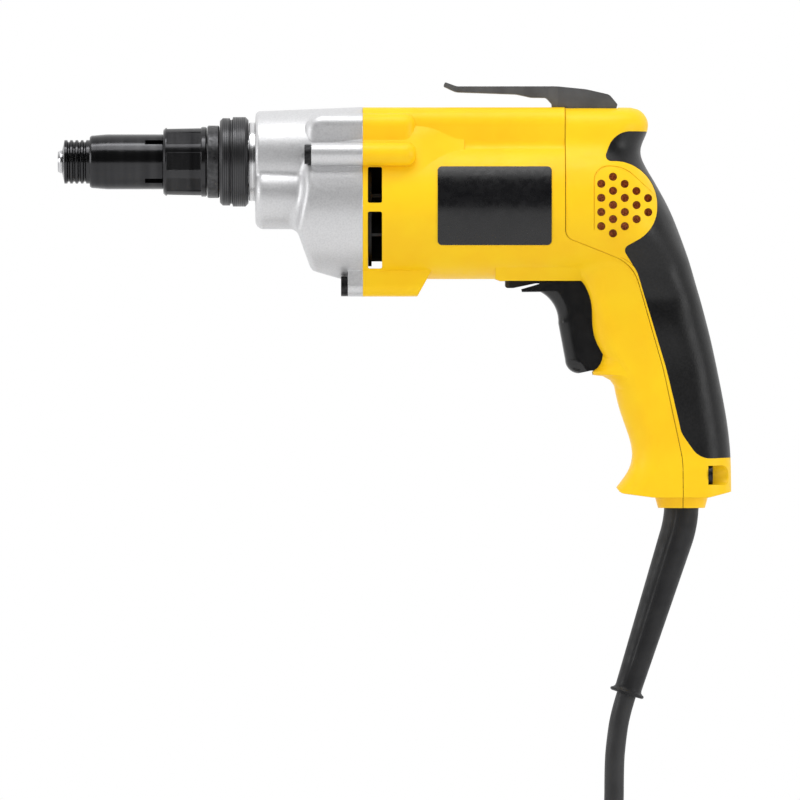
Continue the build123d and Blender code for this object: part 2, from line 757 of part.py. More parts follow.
FRONT_SIDE = seam_region(0.0, -150.0)
REAR_SIDE = seam_region(SEAM, 90.0)
UNDER_BASE = base_region()
ABOVE_FLOOR = block(-80.0, 80.0, 60.0, BASE_FLOOR, MOTOR_Z + SHOULDER_TOP - COVER_WALL)
BOOT_HOLE = upright(CORD_X, 0, BOOT_R + BOOT_PLAY, COLLAR_BOTTOM - 5, BASE_FLOOR + 1)
COVER_SCREWS = [(side * COVER_SCREW_Y, COVER_SCREW_Z) for side in (-1, 1)]
CLAMP_SCREWS = [(side * CLAMP_SCREW_Y, CLAMP_LOW + CLAMP_HEIGHT / 2) for side in (-1, 1)]
CLAMP_FRONT = CORD_X + 1.0
CLAMP_REAR = CLAMP_FRONT + CLAMP_DEPTH
CASE_SCREWS_UPPER = [(side * UPPER_SCREW_Y, UPPER_SCREW_Z) for side in (-1, 1)]
CASE_SCREWS_LOWER = [(side * LOWER_SCREW_Y, LOWER_SCREW_Z) for side in (-1, 1)]


# Motor housing with the front half of the handle

def barrel_face():
    face = Pos(*MOTOR) * Circle(BARREL_R)
    face += Pos(0, MOTOR_Z + SHOULDER_TOP / 2) * Rectangle(2 * SHOULDER_HALF, SHOULDER_TOP)
    top = MOTOR_Z + SHOULDER_TOP
    face = fillet([v for v in face.vertices() if v.Y > top - 1], SHOULDER_ROUND)
    foot = [v for v in face.vertices() if abs(abs(v.X) - SHOULDER_HALF) < 0.01 and v.Y < top - 9]
    return fillet(foot, SHOULDER_FOOT)


def lower_lug(front, rear):
    # block under the barrel, round at its lower corners, that holds both lower screws
    low = LOWER_SCREW_Z - LOWER_LUG_R
    high = MOTOR_Z - BARREL_R + LOWER_LUG_RISE
    face = Pos(0, (low + high) / 2) * Rectangle(2 * (LOWER_SCREW_Y + LOWER_LUG_R), high - low)
    face = fillet([v for v in face.vertices() if v.Y < low + 1], LOWER_LUG_R)
    return extrude(Plane.YZ.offset(front) * face, rear - front)


def lower_boss():
    low = LOWER_SCREW_Z - LOWER_LUG_R
    high = MOTOR_Z - BARREL_R + LOWER_LUG_RISE
    foot = JOINT_X + LOWER_BOSS_LENGTH
    head = foot + LOWER_BOSS_SLOPE
    outline = Polyline((JOINT_X, low), (foot, low), (head, high), (JOINT_X, high), close=True)
    return lower_lug(JOINT_X, head) & slab(make_face(outline), 2 * LOWER_SCREW_Y)


def vent_slots():
    middle = JOINT_X + VENT_INSET + VENT_LENGTH / 2
    slots = []
    for low, high in ((VENT_UPPER_LOW, VENT_UPPER_HIGH), (VENT_LOWER_LOW, VENT_LOWER_HIGH)):
        outline = RectangleRounded(VENT_LENGTH, high - low, VENT_ROUND)
        slots.append(slab(Pos(middle, MOTOR_Z + (low + high) / 2) * outline, BARREL_R + 5))
    return slots


def rear_of(piece):
    return piece.faces().sort_by(Axis.X)[-1].edges()


def front_of(piece):
    return piece.faces().sort_by(Axis.X)[0].edges()


def handle_and_barrel():
    barrel = extrude(Plane.YZ.offset(JOINT_X) * barrel_face(), 30.0 - JOINT_X)
    joined = barrel + HANDLE_SKIN
    low = MOTOR_Z - BARREL_R
    crease = [
        edge for edge in joined.edges()
        if low - 2 < edge.center().Z < low + 14 and -60 < edge.center().X < 28
        and abs(edge.center().Y) < 24 and edge.length > 1
    ]
    return fillet(crease, HANDLE_BLEND)


def hood_end():
    # the hood's round top narrows to the width of the block behind it and stays level
    sections = []
    for i in range(HOOD_STEPS + 1):
        share = i / HOOD_STEPS
        gone = share * share * (3 - 2 * share)
        radius = HOOD_R - (HOOD_R - SHOULDER_HALF + SINK) * gone
        lower = Pos(*MOTOR) * Circle(BARREL_R - HOOD_END_SINK * gone)
        upper = Pos(0, SPINDLE_Z + HOOD_R - radius) * Circle(radius)
        hull = make_hull(lower.edges() + upper.edges())
        sections.append(Plane.YZ.offset(JOINT_X + HOOD_LENGTH + share * HOOD_FADE) * hull)
    return loft(sections)


def trigger_horn():
    # lip of the handle under the trigger, open in the middle for the trigger's travel
    sections = []
    for height, front in HORN_LINE:
        plan = Pos((front + HORN_REAR) / 2, 0) * Rectangle(HORN_REAR - front, 2 * HORN_HALF)
        plan = fillet([v for v in plan.vertices() if v.X < front + 1], HORN_ROUND)
        sections.append(Plane.XY.offset(height) * plan)
    return loft(sections, ruled=True)


def lever_guards():
    high = MOTOR_Z - BARREL_R + GUARD_RISE
    outline = Polyline(
        (GUARD_FRONT, high), (GUARD_FRONT, MOTOR_Z - BARREL_R),
        (GUARD_FRONT + GUARD_SLOPE, GUARD_BOTTOM), (GUARD_REAR, GUARD_BOTTOM),
        (GUARD_REAR, high), close=True)
    section = make_face(Polyline(
        (GUARD_INNER, GUARD_BOTTOM), (GUARD_OUTER, GUARD_BOTTOM), (GUARD_OUTER + GUARD_SPREAD, high),
        (GUARD_INNER, high), close=True))
    rib = extrude(Plane.YZ.offset(GUARD_FRONT) * section, GUARD_REAR - GUARD_FRONT)
    guard = rib & slab(make_face(outline), 2 * GUARD_OUTER)
    return [guard, mirror(guard, about=Plane.XZ)]


def trigger_slots():
    ceiling = LEVER_BOTTOM + LEVER + PLAY
    slot = block(GUARD_FRONT, SWITCH_FRONT, TRIGGER_HALF + 0.5, TRIGGER_BOTTOM - 0.6, ceiling)
    lever = block(TRIGGER_WING, SWITCH_FRONT, LEVER_ROOM_HALF, TRIGGER_TOP, ceiling)
    return [slot, lever]


def housing_inside():
    # ribs for the switch, saddle for the cord, bosses for the cover screws
    pads = [
        Pos(SWITCH_FRONT + 2.5, side * (SWITCH_HALF + 0.1 + 3.0), (SWITCH_BOTTOM + SWITCH_TOP) / 2)
        * Box(3.0, 6.0, SWITCH_TOP - SWITCH_BOTTOM - 12.0)
        for side in (-1, 1)
    ]
    saddle = block(-16.0, CORD_X - 1.0, CLAMP_HALF, CLAMP_LOW, CLAMP_LOW + CLAMP_HEIGHT)
    bosses = [rod(place, COVER_BOSS_R, 0.0, 20.0) for place in COVER_SCREWS]
    filled = []
    for piece in pads + [saddle] + bosses:
        filled.append(piece & HANDLE_SKIN & FRONT_SIDE)
    return filled


def motor_housing():
    shell = handle_and_barrel() - UNDER_BASE
    shell = shell & FRONT_SIDE
    shell += base_collar() & FRONT_SIDE
    shell += hull_block(BARREL_R, HOOD_R, JOINT_X, JOINT_X + HOOD_LENGTH)
    shell += hood_end()
    shell += fillet(rear_of(shelf_block(JOINT_X, JOINT_X + HOOD_LENGTH)), SHELF_END_ROUND)
    shell += lower_boss()
    for place in CASE_SCREWS_UPPER:
        boss = rod(place, UPPER_LUG_R, JOINT_X, JOINT_X + UPPER_BOSS_LENGTH)
        shell += fillet(rear_of(boss), UPPER_LUG_R - 0.5)
    shell += trigger_horn()
    for guard in lever_guards():
        shell += guard
    shell -= rod(MOTOR, BORE_R, JOINT_X - 1, 0.0)
    shell -= hull_block(BORE_R, HOOD_R - BARREL_WALL, JOINT_X - 1, JOINT_X + HOOD_ROOM)
    shell -= block(
        JOINT_X - 1, 0.0, SHOULDER_HALF - BARREL_WALL, MOTOR_Z, MOTOR_Z + SHOULDER_TOP - BARREL_WALL)
    shell -= HANDLE_ROOM & ABOVE_FLOOR
    for piece in housing_inside():
        shell += piece
    for slot in vent_slots() + trigger_slots():
        shell -= slot
    shell += upright(LEVER_X, 0, LEVER_PIN_R, LEVER_BOTTOM + 0.2, MOTOR_Z - BARREL_R + 1.5)
    shell -= BOOT_HOLE
    shell -= upright(CORD_X, 0, CORD_R + FIT, BASE_FLOOR, JACKET_TOP + 20)
    for place in CASE_SCREWS_UPPER + CASE_SCREWS_LOWER:
        shell -= rod(place, CASE_SCREW_R, JOINT_X - 1, JOINT_X + CASE_SCREW_GRIP + 1)
    for place in COVER_SCREWS:
        shell -= rod(place, COVER_SCREW_R, COVER_SCREW_SEAT - COVER_SCREW_LENGTH - 1, 40.0)
    for place in CLAMP_SCREWS:
        shell -= rod(place, CLAMP_SCREW_R, CLAMP_REAR - CLAMP_SCREW_LENGTH - 1, 40.0)
    return shell


# Rear cover and its soft grip

def grip_region():
    line = [
        (60.0, MOTOR_Z + 35.0), (-19.3, MOTOR_Z + 35.0), (-24.6, MOTOR_Z + 20.9), (0.6, MOTOR_Z + 20.9),
        (0.6, MOTOR_Z - 10.8), (-15.6, MOTOR_Z - 19.9), (-8.6, 55.0), (5.0, 9.9), (12.2, -20.5),
        (20.5, -32.3), (60.0, -30.5),
    ]
    radii = [11.0, 2.6, 19.8, 17.5, 2.6, 15.0, 120.0, 12.0, 10.0]
    return slab(rounded_region(line, radii, [(90.0, -30.5), (90.0, MOTOR_Z + 35.5)]), 60.0)


def rubber_grip():
    return (COVER_SKIN - GRIP_SEAT) & grip_region()


def vent_holes():
    holes = []
    for column, count in enumerate(HOLE_COLUMNS):
        x = HOLES_X + (column - 1) * HOLE_COLUMN
        for row in range(count):
            z = MOTOR_Z + 0.3 + (row - (count - 1) / 2) * HOLE_ROW
            holes.append(Pos(x, 0, z) * Rot(90, 0, 0) * Cylinder(HOLE_R, 3 * BARREL_R))
    return holes


def vent_panel(shift):
    line = [(-29.1 + shift, 75.0), (-29.1 + shift, 104.7 - shift), (-15.0, 104.7 - shift), (3.0, 88.0)]
    return slab(rounded_region(line, [7.0, 16.0], [(3.0, 75.0)]), 60.0)


def cover_lines():
    # edge of the panel round the air holes, and the bead along the seam
    bead = seam_region(SEAM + BEAD, 90.0) - seam_region(SEAM + BEAD + LINE, 90.0)
    return [vent_panel(0.0) - vent_panel(LINE), bead & block(-40.0, 40.0, 60.0, -20.0, 62.0)]


def pocket_wall(place):
    # closes the pocket of a cover screw towards the hollow of the handle
    reach = 2 * (COVER_SCREW_HEAD_R + COVER_POCKET_WALL)
    middle = Pos(COVER_SCREW_SEAT + COVER_POCKET / 2, place[0], place[1])
    return middle * Box(COVER_POCKET + 2 * COVER_POCKET_WALL, reach, reach) & COVER_SKIN & REAR_SIDE


def rear_cover(grip):
    shell = (COVER_SKIN - UNDER_BASE) & REAR_SIDE
    shell += base_collar() & REAR_SIDE
    shell -= COVER_ROOM & ABOVE_FLOOR
    for place in COVER_SCREWS:
        shell += rod(place, COVER_BOSS_R, 0.0, COVER_SCREW_SEAT + 3) & COVER_SKIN & REAR_SIDE
        shell += pocket_wall(place)
    shell += upright(CLIP_SCREW_X, 0, CLIP_SCREW_R + 3.0, CLIP_SEAT_Z - CLIP_SCREW_LENGTH, CLIP_SEAT_Z - 1)
    shell -= grip
    shell -= block(
        CLIP_FRONT - PLAY, CLIP_REAR + CLIP_LEAN + PLAY, CLIP_HALF + PLAY, CLIP_SEAT_Z, CLIP_SEAT_Z + 30)
    for hole in vent_holes():
        shell -= hole
    web = block(SHAFT_REAR + 3.0, 40.0, WEB / 2, MOTOR_Z + WEB_LOW, MOTOR_Z + WEB_HIGH)
    shell += web & GRIP_SEAT
    shell -= BOOT_HOLE
    shell -= upright(CLIP_SCREW_X, 0, CLIP_SCREW_R, CLIP_SEAT_Z - CLIP_SCREW_LENGTH - 1, CLIP_SEAT_Z + 1)
    for place in COVER_SCREWS:
        shell -= rod(place, COVER_SCREW_R + 0.15, 0.0, 60.0)
        shell -= rod(place, COVER_SCREW_HEAD_R + 0.2, COVER_SCREW_SEAT, 60.0)
        middle = Pos(COVER_SCREW_SEAT + COVER_POCKET / 2, place[0] * 2, place[1])
        shell -= middle * Box(COVER_POCKET, 2 * COVER_SCREW_Y, 2 * COVER_SCREW_HEAD_R)
    for line in cover_lines():
        shell -= (COVER_SKIN - LINE_FLOOR) & line
    return shell


def cover_screws():
    screws = []
    for place in COVER_SCREWS:
        shank = rod(place, COVER_SCREW_R - FIT, COVER_SCREW_SEAT - COVER_SCREW_LENGTH, COVER_SCREW_SEAT)
        face = COVER_SCREW_SEAT + COVER_SCREW_HEAD
        head = rod(place, COVER_SCREW_HEAD_R, COVER_SCREW_SEAT, face)
        screws.append(shank + head - cross_recess(place, face, depth=1.2, width=4.5))
    return group(screws)


def cross_recess(place, face, depth, width):
    arm = Pos(face - depth / 2, place[0], place[1]) * Box(depth + 0.02, width, 1.0)
    return arm + arm.rotate(Axis((0, place[0], place[1]), (1, 0, 0)), 90)


def nameplates():
    outline = Pos((PLATE_FRONT + PLATE_REAR) / 2, MOTOR_Z) * RectangleRounded(
        PLATE_REAR - PLATE_FRONT, PLATE_HEIGHT, PLATE_ROUND)
    outer = BARREL_R + FIT + PLATE_THICKNESS
    sheet = slab(outline, 60.0) & pipe(MOTOR, outer, BARREL_R + FIT, PLATE_FRONT - 5, PLATE_REAR + 5)
    return group(sheet.solids())


# Belt clip

def clip_outline():
    seat = CLIP_SEAT_Z + FIT
    top = MOTOR_Z + SHOULDER_TOP + 0.15
    line = [
        (CLIP_FRONT, seat), (CLIP_REAR, seat), (CLIP_REAR + CLIP_LEAN, 133.8), (-21.5, 138.4),
        (-32.5, 140.9), (-46.4, 142.3), (-93.0, 142.3), (-98.5, 144.3), (-99.3, 142.3), (-93.5, 139.6),
        (-65.1, 138.6), (-58.2, 137.1), (-51.2, 137.0), (-48.6, 134.2), (-48.4, top), (CLIP_FRONT, top),
    ]
    radii = [0.3, 0.8, 4.0, 20.0, 40.0, 6.0, 0.6, 0.6, 6.0, 10.0, 3.0, 2.0, 1.0, 0.3]
    return make_face(rounded_edges(line, radii) + [Line(line[-1], line[0])])


def belt_clip():
    plan = make_face(Polyline(
        (CLIP_TIP, CLIP_ARM_HALF - 1.0), (-50.0, CLIP_ARM_HALF + 0.5), (CLIP_FRONT - 4, CLIP_HALF),
        (CLIP_REAR + 2, CLIP_HALF), (CLIP_REAR + 2, -CLIP_HALF), (CLIP_FRONT - 4, -CLIP_HALF),
        (-50.0, -CLIP_ARM_HALF - 0.5), (CLIP_TIP, -CLIP_ARM_HALF + 1.0), close=True))
    clip = slab(clip_outline(), 20.0) & extrude(Plane.XY.offset(CLIP_SEAT_Z) * plan, 40.0)
    seat = CLIP_SEAT_Z + CLIP_SCREW_RISE
    clip -= upright(CLIP_SCREW_X, 0, CLIP_SCREW_R + 0.15, CLIP_SEAT_Z - 1, seat + 1)
    return clip - upright(CLIP_SCREW_X, 0, CLIP_SCREW_HEAD_R + 0.2, seat, seat + 30)


def belt_clip_screw():
    seat = CLIP_SEAT_Z + CLIP_SCREW_RISE
    shank = upright(CLIP_SCREW_X, 0, CLIP_SCREW_R - FIT, CLIP_SEAT_Z - CLIP_SCREW_LENGTH + 1, seat)
    head = upright(CLIP_SCREW_X, 0, CLIP_SCREW_HEAD_R, seat, seat + CLIP_SCREW_HEAD)
    slot = Pos(CLIP_SCREW_X, 0, seat + CLIP_SCREW_HEAD) * Box(5.0, 1.0, 2.4)
    return shank + head - slot - slot.rotate(Axis((CLIP_SCREW_X, 0, 0), (0, 0, 1)), 90)


# Gear case

def bell_region():
    front = JOINT_X - BELL_LENGTH
    top = SPINDLE_Z + HOOD_R + 20
    line = [
        (front, top), (front, MOTOR_Z + 6.0), (front - 3.4, MOTOR_Z - 11.0), (front + 3.3, MOTOR_Z - 29.8),
        (front + 17.5, MOTOR_Z - BARREL_R), (JOINT_X, MOTOR_Z - BARREL_R - 1.0),
    ]
    return slab(rounded_region(line, [20.0, 4.0, 4.0, 20.0], [(JOINT_X, top)]), 60.0)


def bell():
    shell = hull_block(BARREL_R, BELL_TOP_R, JOINT_X - CASE_LENGTH, JOINT_X) & bell_region()
    rim = JOINT_X - BELL_LENGTH + 6.0
    edges = [
        edge for edge in shell.edges()
        if edge.center().X < rim and not (edge.geom_type == GeomType.LINE and abs((edge % 0.5).Y) > 0.99)
    ]
    return fillet(edges, BELL_ROUND)


def bell_shelf():
    front = JOINT_X - BELL_LENGTH
    top = SPINDLE_Z + SHELF_TOP
    shelf = block(front, JOINT_X, SHELF_HALF, SPINDLE_Z, top)
    corner = [edge for edge in front_of(shelf) if edge.center().Z > top - 0.1]
    shelf = fillet(corner, SHELF_ARCH)
    rims = [
        edge for edge in shelf.edges()
        if abs(edge.center().Y) > SHELF_HALF - 0.1 and edge.center().X < JOINT_X - 0.1
        and edge.center().Z > SPINDLE_Z + 0.1
    ]
    return fillet(rims, SHELF_ROUND)


def blended(pieces, radius):
    # joins the pieces and rounds the inner corners where they meet behind the front face
    joined = pieces[0]
    for piece in pieces[1:]:
        joined += piece
    before = [edge.center() for piece in pieces for edge in piece.edges()]
    corners = [
        edge for edge in joined.edges()
        if CASE_FRONT + 1.5 < edge.center().X < JOINT_X - BELL_LENGTH + 7
        and min((edge.center() - spot).length for spot in before) > 0.02
        and edge.center().Z < SPINDLE_Z + HOOD_R - 4
    ]
    return fillet(corners, radius)


def gear_case():
    nose = turned(SPINDLE, [
        (CASE_FRONT, 0), (CASE_FRONT, NOSE_BOSS_R), (JOINT_X, NOSE_BOSS_R + NOSE_BOSS_FLARE), (JOINT_X, 0)])
    idler_boss = rod(IDLER, IDLER_BOSS_R, CASE_FRONT, JOINT_X - 20)
    nose = fillet(front_of(nose), NOSE_ROUND)
    idler_boss = fillet(front_of(idler_boss), IDLER_BOSS_ROUND)
    case = blended([bell(), nose, idler_boss], CASE_BLEND)
    case += bell_shelf()
    for place in CASE_SCREWS_UPPER:
        case += rod(place, UPPER_LUG_R, JOINT_X - UPPER_LUG_LENGTH, JOINT_X)
    case += lower_lug(JOINT_X - LOWER_LUG_LENGTH, JOINT_X)
    case -= hull_block(BORE_R, HOOD_R - CASE_WALL, PLATE_FACE, JOINT_X + 1)
    case -= hull_block(BORE_R - 2, HOOD_R - CASE_WALL - 2, JOINT_X - 19, PLATE_FACE + 1)
    case -= rod(SPINDLE, SPIGOT_SEAT_R + FIT, CASE_FRONT - 1, SPIGOT_REAR + 0.5)
    case -= rod(SPINDLE, FLANGE_R + GEAR_CLEAR, SPIGOT_REAR, GEAR_ROOM + 0.5)
    case -= rod(SPINDLE, CLUTCH_TIP_R + GEAR_CLEAR, GEAR_ROOM, PLATE_FACE + 1)
    case -= rod(IDLER, IDLER_PINION_TIP_R + GEAR_CLEAR, GEAR_ROOM, PLATE_FACE + 1)
    case -= rod(IDLER, IDLER_TIP_R + GEAR_CLEAR, MOTOR_GEAR_FRONT - GEAR_CLEAR, PLATE_FACE + 1)
    case -= rod(IDLER, IDLER_FRONT_BUSH_R + FIT, IDLER_BUSH_FRONT, GEAR_ROOM + 0.5)
    for place in CASE_SCREWS_UPPER + CASE_SCREWS_LOWER:
        case -= rod(place, CASE_SCREW_R + 0.15, JOINT_X - UPPER_LUG_LENGTH - 1, JOINT_X + 1)
    head_room = JOINT_X - UPPER_LUG_LENGTH - CASE_SCREW_HEAD - 1.0
    for place in CASE_SCREWS_UPPER:
        case -= rod(place, CASE_SCREW_HEAD_R + 0.5, head_room, JOINT_X - UPPER_LUG_LENGTH)
    return case


def gear_case_screws():
    screws = []
    seats = [(place, JOINT_X - UPPER_LUG_LENGTH) for place in CASE_SCREWS_UPPER]
    seats += [(place, JOINT_X - LOWER_LUG_LENGTH) for place in CASE_SCREWS_LOWER]
    for place, seat in seats:
        screw = rod(place, CASE_SCREW_R - FIT, seat, JOINT_X + CASE_SCREW_GRIP)
        screw += rod(place, CASE_SCREW_HEAD_R, seat - CASE_SCREW_HEAD, seat)
        screws.append(screw - cross_recess(place, seat - CASE_SCREW_HEAD + 1.4, depth=1.4, width=5.0))
    return group(screws)


def bearing_plate():
    plate = hull_block(BORE_R - FIT, HOOD_R - CASE_WALL - FIT, PLATE_FACE, JOINT_X)
    plate -= rod(MOTOR, SHAFT_R + 1.5, PLATE_FACE - 1, JOINT_X + 1)
    plate -= rod(MOTOR, BEARING_R + FIT, BEARING_FRONT, JOINT_X + 1)
    plate -= rod(IDLER, IDLER_REAR_BUSH_R + FIT, PLATE_FACE - 1, PLATE_FACE + IDLER_REAR_BUSH)
    return plate - rod(SPINDLE, REAR_BUSH_R + FIT, PLATE_FACE - 1, PLATE_FACE + REAR_BUSH)


# Nose

def ring_slots(count, first, width, inner, outer, front, rear):
    slots = []
    for i in range(count):
        spot = Pos((front + rear) / 2, 0, SPINDLE_Z + (inner + outer) / 2)
        box = spot * Box(rear - front, width, outer - inner)
        slots.append(around(SPINDLE, box, first + 360.0 * i / count))
    return slots


def nose_tip_ring():
    sleeve = TIP_BORE_R + TIP_WALL
    return turned(SPINDLE, [
        (TIP_FRONT, TIP_BORE_R), (TIP_FRONT, TIP_FRONT_R), (LOCATOR_FRONT - 0.8, TIP_R),
        (LOCATOR_FRONT, TIP_R), (LOCATOR_FRONT, sleeve), (LOCATOR_FRONT + TIP_SLEEVE, sleeve),
        (LOCATOR_FRONT + TIP_SLEEVE, TIP_BORE_R),
    ])


def depth_locator():
    sleeve = TIP_BORE_R + TIP_WALL + FIT
    cone = 1.1
    outline = [(LOCATOR_FRONT, sleeve), (LOCATOR_FRONT, TIP_R + 0.3), (LOCATOR_FRONT + cone, LOCATOR_R)]
    for rib in range(RIBS):
        crest = LOCATOR_FRONT + cone + 0.4 + rib * RIB_PITCH
        outline += [
            (crest + RIB_PITCH * 0.35, LOCATOR_R), (crest + RIB_PITCH * 0.55, LOCATOR_R - RIB_DEPTH),
            (crest + RIB_PITCH * 0.75, LOCATOR_R - RIB_DEPTH), (crest + RIB_PITCH * 0.95, LOCATOR_R),
        ]
    shoulder = LOCATOR_FRONT + TIP_SLEEVE + FIT
    outline += [(LOCATOR_REAR, LOCATOR_R), (LOCATOR_REAR, LOCATOR_BORE_R)]
    outline += [(shoulder, LOCATOR_BORE_R), (shoulder, sleeve)]
    locator = turned(SPINDLE, outline)
    lug_width = SLOT_WIDTH - 2 * PLAY
    for lug in ring_slots(TUBE_SLOTS, 45.0, lug_width, LOCATOR_R - 1.5, LUG_R, LUG_FRONT, LUG_REAR):
        locator += lug
    return locator


def nose_tube():
    tube = turned(SPINDLE, [
        (TUBE_FRONT, TUBE_BORE_R), (TUBE_FRONT, TUBE_R - 1.2), (TUBE_FRONT + 0.8, TUBE_R - 0.6),
        (TUBE_FRONT + TUBE_CONE, TUBE_R), (TUBE_STEP, TUBE_R), (TUBE_STEP, TUBE_SLEEVE_R),
        (TUBE_REAR, TUBE_SLEEVE_R), (TUBE_REAR, TUBE_BORE_R),
    ])
    for slot in ring_slots(
            TUBE_SLOTS, 45.0, SLOT_WIDTH, TUBE_BORE_R - 2, TUBE_R + 2, TUBE_STEP - SLOT_OPEN, RELIEF_REAR):
        tube -= slot
    return tube


def adjusting_collar():
    bore = TUBE_SLEEVE_R + FIT
    relief = LUG_R + PLAY
    lip = ADJUST_REAR - 2.6
    collar = turned(SPINDLE, [
        (ADJUST_FRONT, bore), (ADJUST_FRONT, ADJUST_R - 1.2), (ADJUST_FRONT + 1.0, ADJUST_R - 0.3),
        (lip, ADJUST_R), (lip + 0.4, ADJUST_R + 0.2), (ADJUST_REAR - 0.5, ADJUST_R + 0.2),
        (ADJUST_REAR, ADJUST_R - 0.3), (ADJUST_REAR, bore), (RELIEF_REAR, bore), (RELIEF_REAR, relief),
        (RELIEF_FRONT, relief), (RELIEF_FRONT, bore),
    ])
    floor = ADJUST_R - ADJUST_POCKET_DEPTH
    for pocket in ring_slots(
            ADJUST_LANDS, 90.0, ADJUST_POCKET, floor, ADJUST_R + 3, ADJUST_FRONT + 1.6, lip):
        collar -= pocket
    return collar


def detent_ring():
    edge = 0.5
    return turned(SPINDLE, [
        (DETENT_FRONT, SLEEVE_BORE_R), (DETENT_FRONT, DETENT_R - edge), (DETENT_FRONT + edge, DETENT_R),
        (DETENT_REAR - edge, DETENT_R), (DETENT_REAR, DETENT_R - edge), (DETENT_REAR, SLEEVE_BORE_R),
    ])


def locking_collar():
    bore = SPIGOT_R + FIT
    counterbore = RETAINER_R + PLAY
    shoulder = RETAINER_REAR + 0.2
    groove = LOCK_FRONT + 4.6
    return turned(SPINDLE, [
        (LOCK_FRONT, counterbore), (LOCK_FRONT, LOCK_FRONT_R - 1.3), (LOCK_FRONT + 1.3, LOCK_FRONT_R),
        (groove, LOCK_FRONT_R), (groove + 0.3, LOCK_FRONT_R - LOCK_GROOVE),
        (groove + 1.1, LOCK_FRONT_R - LOCK_GROOVE), (groove + 1.5, LOCK_R), (LOCK_REAR - 1.4, LOCK_R),
        (LOCK_REAR, LOCK_R - 1.4), (LOCK_REAR, bore), (shoulder, bore), (shoulder, counterbore),
    ])


def collar_retaining_ring():
    ring = pipe(SPINDLE, RETAINER_R, SPIGOT_R - RETAINER_DEPTH + FIT, RETAINER_FRONT, RETAINER_REAR)
    gap = Pos((RETAINER_FRONT + RETAINER_REAR) / 2, 0, SPINDLE_Z - RETAINER_R) * Box(RETAINER + 1, 4.0, 8.0)
    return ring - gap


def front_spigot():
    spigot = turned(SPINDLE, [
        (SPIGOT_FRONT, SLEEVE_BORE_R), (SPIGOT_FRONT, SPIGOT_R), (NECK_FRONT, SPIGOT_R),
        (NECK_FRONT, NECK_R - 0.4), (NECK_FRONT + 0.4, NECK_R), (CASE_FRONT, NECK_R),
        (CASE_FRONT, SPIGOT_SEAT_R), (SPIGOT_REAR, SPIGOT_SEAT_R), (SPIGOT_REAR, FRONT_BUSH_R + FIT),
        (FRONT_BUSH_X, FRONT_BUSH_R + FIT), (FRONT_BUSH_X, SPINDLE_R + 2), (TUBE_REAR, SPINDLE_R + 2),
        (TUBE_REAR, SLEEVE_BORE_R),
    ])
    return spigot - pipe(
        SPINDLE, SPIGOT_R + 1, SPIGOT_R - RETAINER_DEPTH, RETAINER_FRONT - FIT, RETAINER_REAR + FIT)


# Spindle and clutch

def sector(inner, outer, middle, half_angle):
    start = middle - half_angle
    outer_arc = CenterArc((0, 0), outer, start, 2 * half_angle)
    inner_arc = CenterArc((0, 0), inner, start, 2 * half_angle)
    return make_face([
        outer_arc, inner_arc, Line(inner_arc @ 0, outer_arc @ 0), Line(inner_arc @ 1, outer_arc @ 1)])


def dogs(phase, front, rear):
    return [
        extrude(
            axis_plane(SPINDLE, front)
            * sector(DOG_INNER_R, DOG_OUTER_R, phase + 360.0 * i / DOGS, DOG_ANGLE / 2), rear - front)
        for i in range(DOGS)
    ]


def spindle():
    piece = rod(SPINDLE, SPINDLE_R, SPINDLE_FRONT, FLANGE_FRONT)
    piece += rod(SPINDLE, FLANGE_R, FLANGE_FRONT, FLANGE_REAR)
    piece += rod(SPINDLE, TAIL_R, FLANGE_REAR, PLATE_FACE + REAR_BUSH - SLIDE_TRAVEL - 0.5)
    for dog in dogs(DOG_REST_ANGLE, FLANGE_REAR, FLANGE_REAR + DOG_HEIGHT):
        piece += dog
    socket = SPINDLE_FRONT + SHANK_LENGTH + 1
    return piece - hex_rod(SPINDLE, HEX_FLATS + 2 * HEX_PLAY, SPINDLE_FRONT - 1, socket)


def bit_holder():
    socket = HOLDER_FRONT + BIT_DEPTH
    ring = HOLDER_FRONT + 4.0
    holder = rod(SPINDLE, HOLDER_R, HOLDER_FRONT, SPINDLE_FRONT)
    holder = chamfer(front_of(holder), 0.6)
    holder += hex_rod(SPINDLE, HEX_FLATS, SPINDLE_FRONT, SPINDLE_FRONT + SHANK_LENGTH)
    holder -= hex_rod(SPINDLE, HEX_FLATS + 2 * HEX_PLAY, HOLDER_FRONT - 1, socket)
    holder -= rod(SPINDLE, MAGNET_R + FIT, socket - 0.5, socket + MAGNET)
    return holder - rod(SPINDLE, HEX_FLATS / 2 + 1.0, ring - FIT, ring + CLIP_RING + FIT)


def bit_magnet():
    socket = HOLDER_FRONT + BIT_DEPTH
    return rod(SPINDLE, MAGNET_R, socket, socket + MAGNET - FIT)


def bit_retaining_ring():
    front = HOLDER_FRONT + 4.0
    ring = pipe(SPINDLE, HEX_FLATS / 2 + 0.95, HEX_FLATS / 2 + 0.3, front, front + CLIP_RING)
    return ring - Pos(front + CLIP_RING / 2, 0, SPINDLE_Z - HEX_FLATS / 2) * Box(2.0, 2.4, 3.0)


def thrust_washer():
    return pipe(SPINDLE, WASHER_R, SPINDLE_R + FIT, WASHER_FRONT, WASHER_FRONT + WASHER)


def clutch_spring():
    length = CLUTCH_FACE + SPRING_POCKET - FLANGE_REAR - 2 * FIT
    return spring(
        (FLANGE_REAR + FIT, 0, SPINDLE_Z), (1, 0, 0), CLUTCH_SPRING_R, CLUTCH_SPRING_WIRE, length, 4)


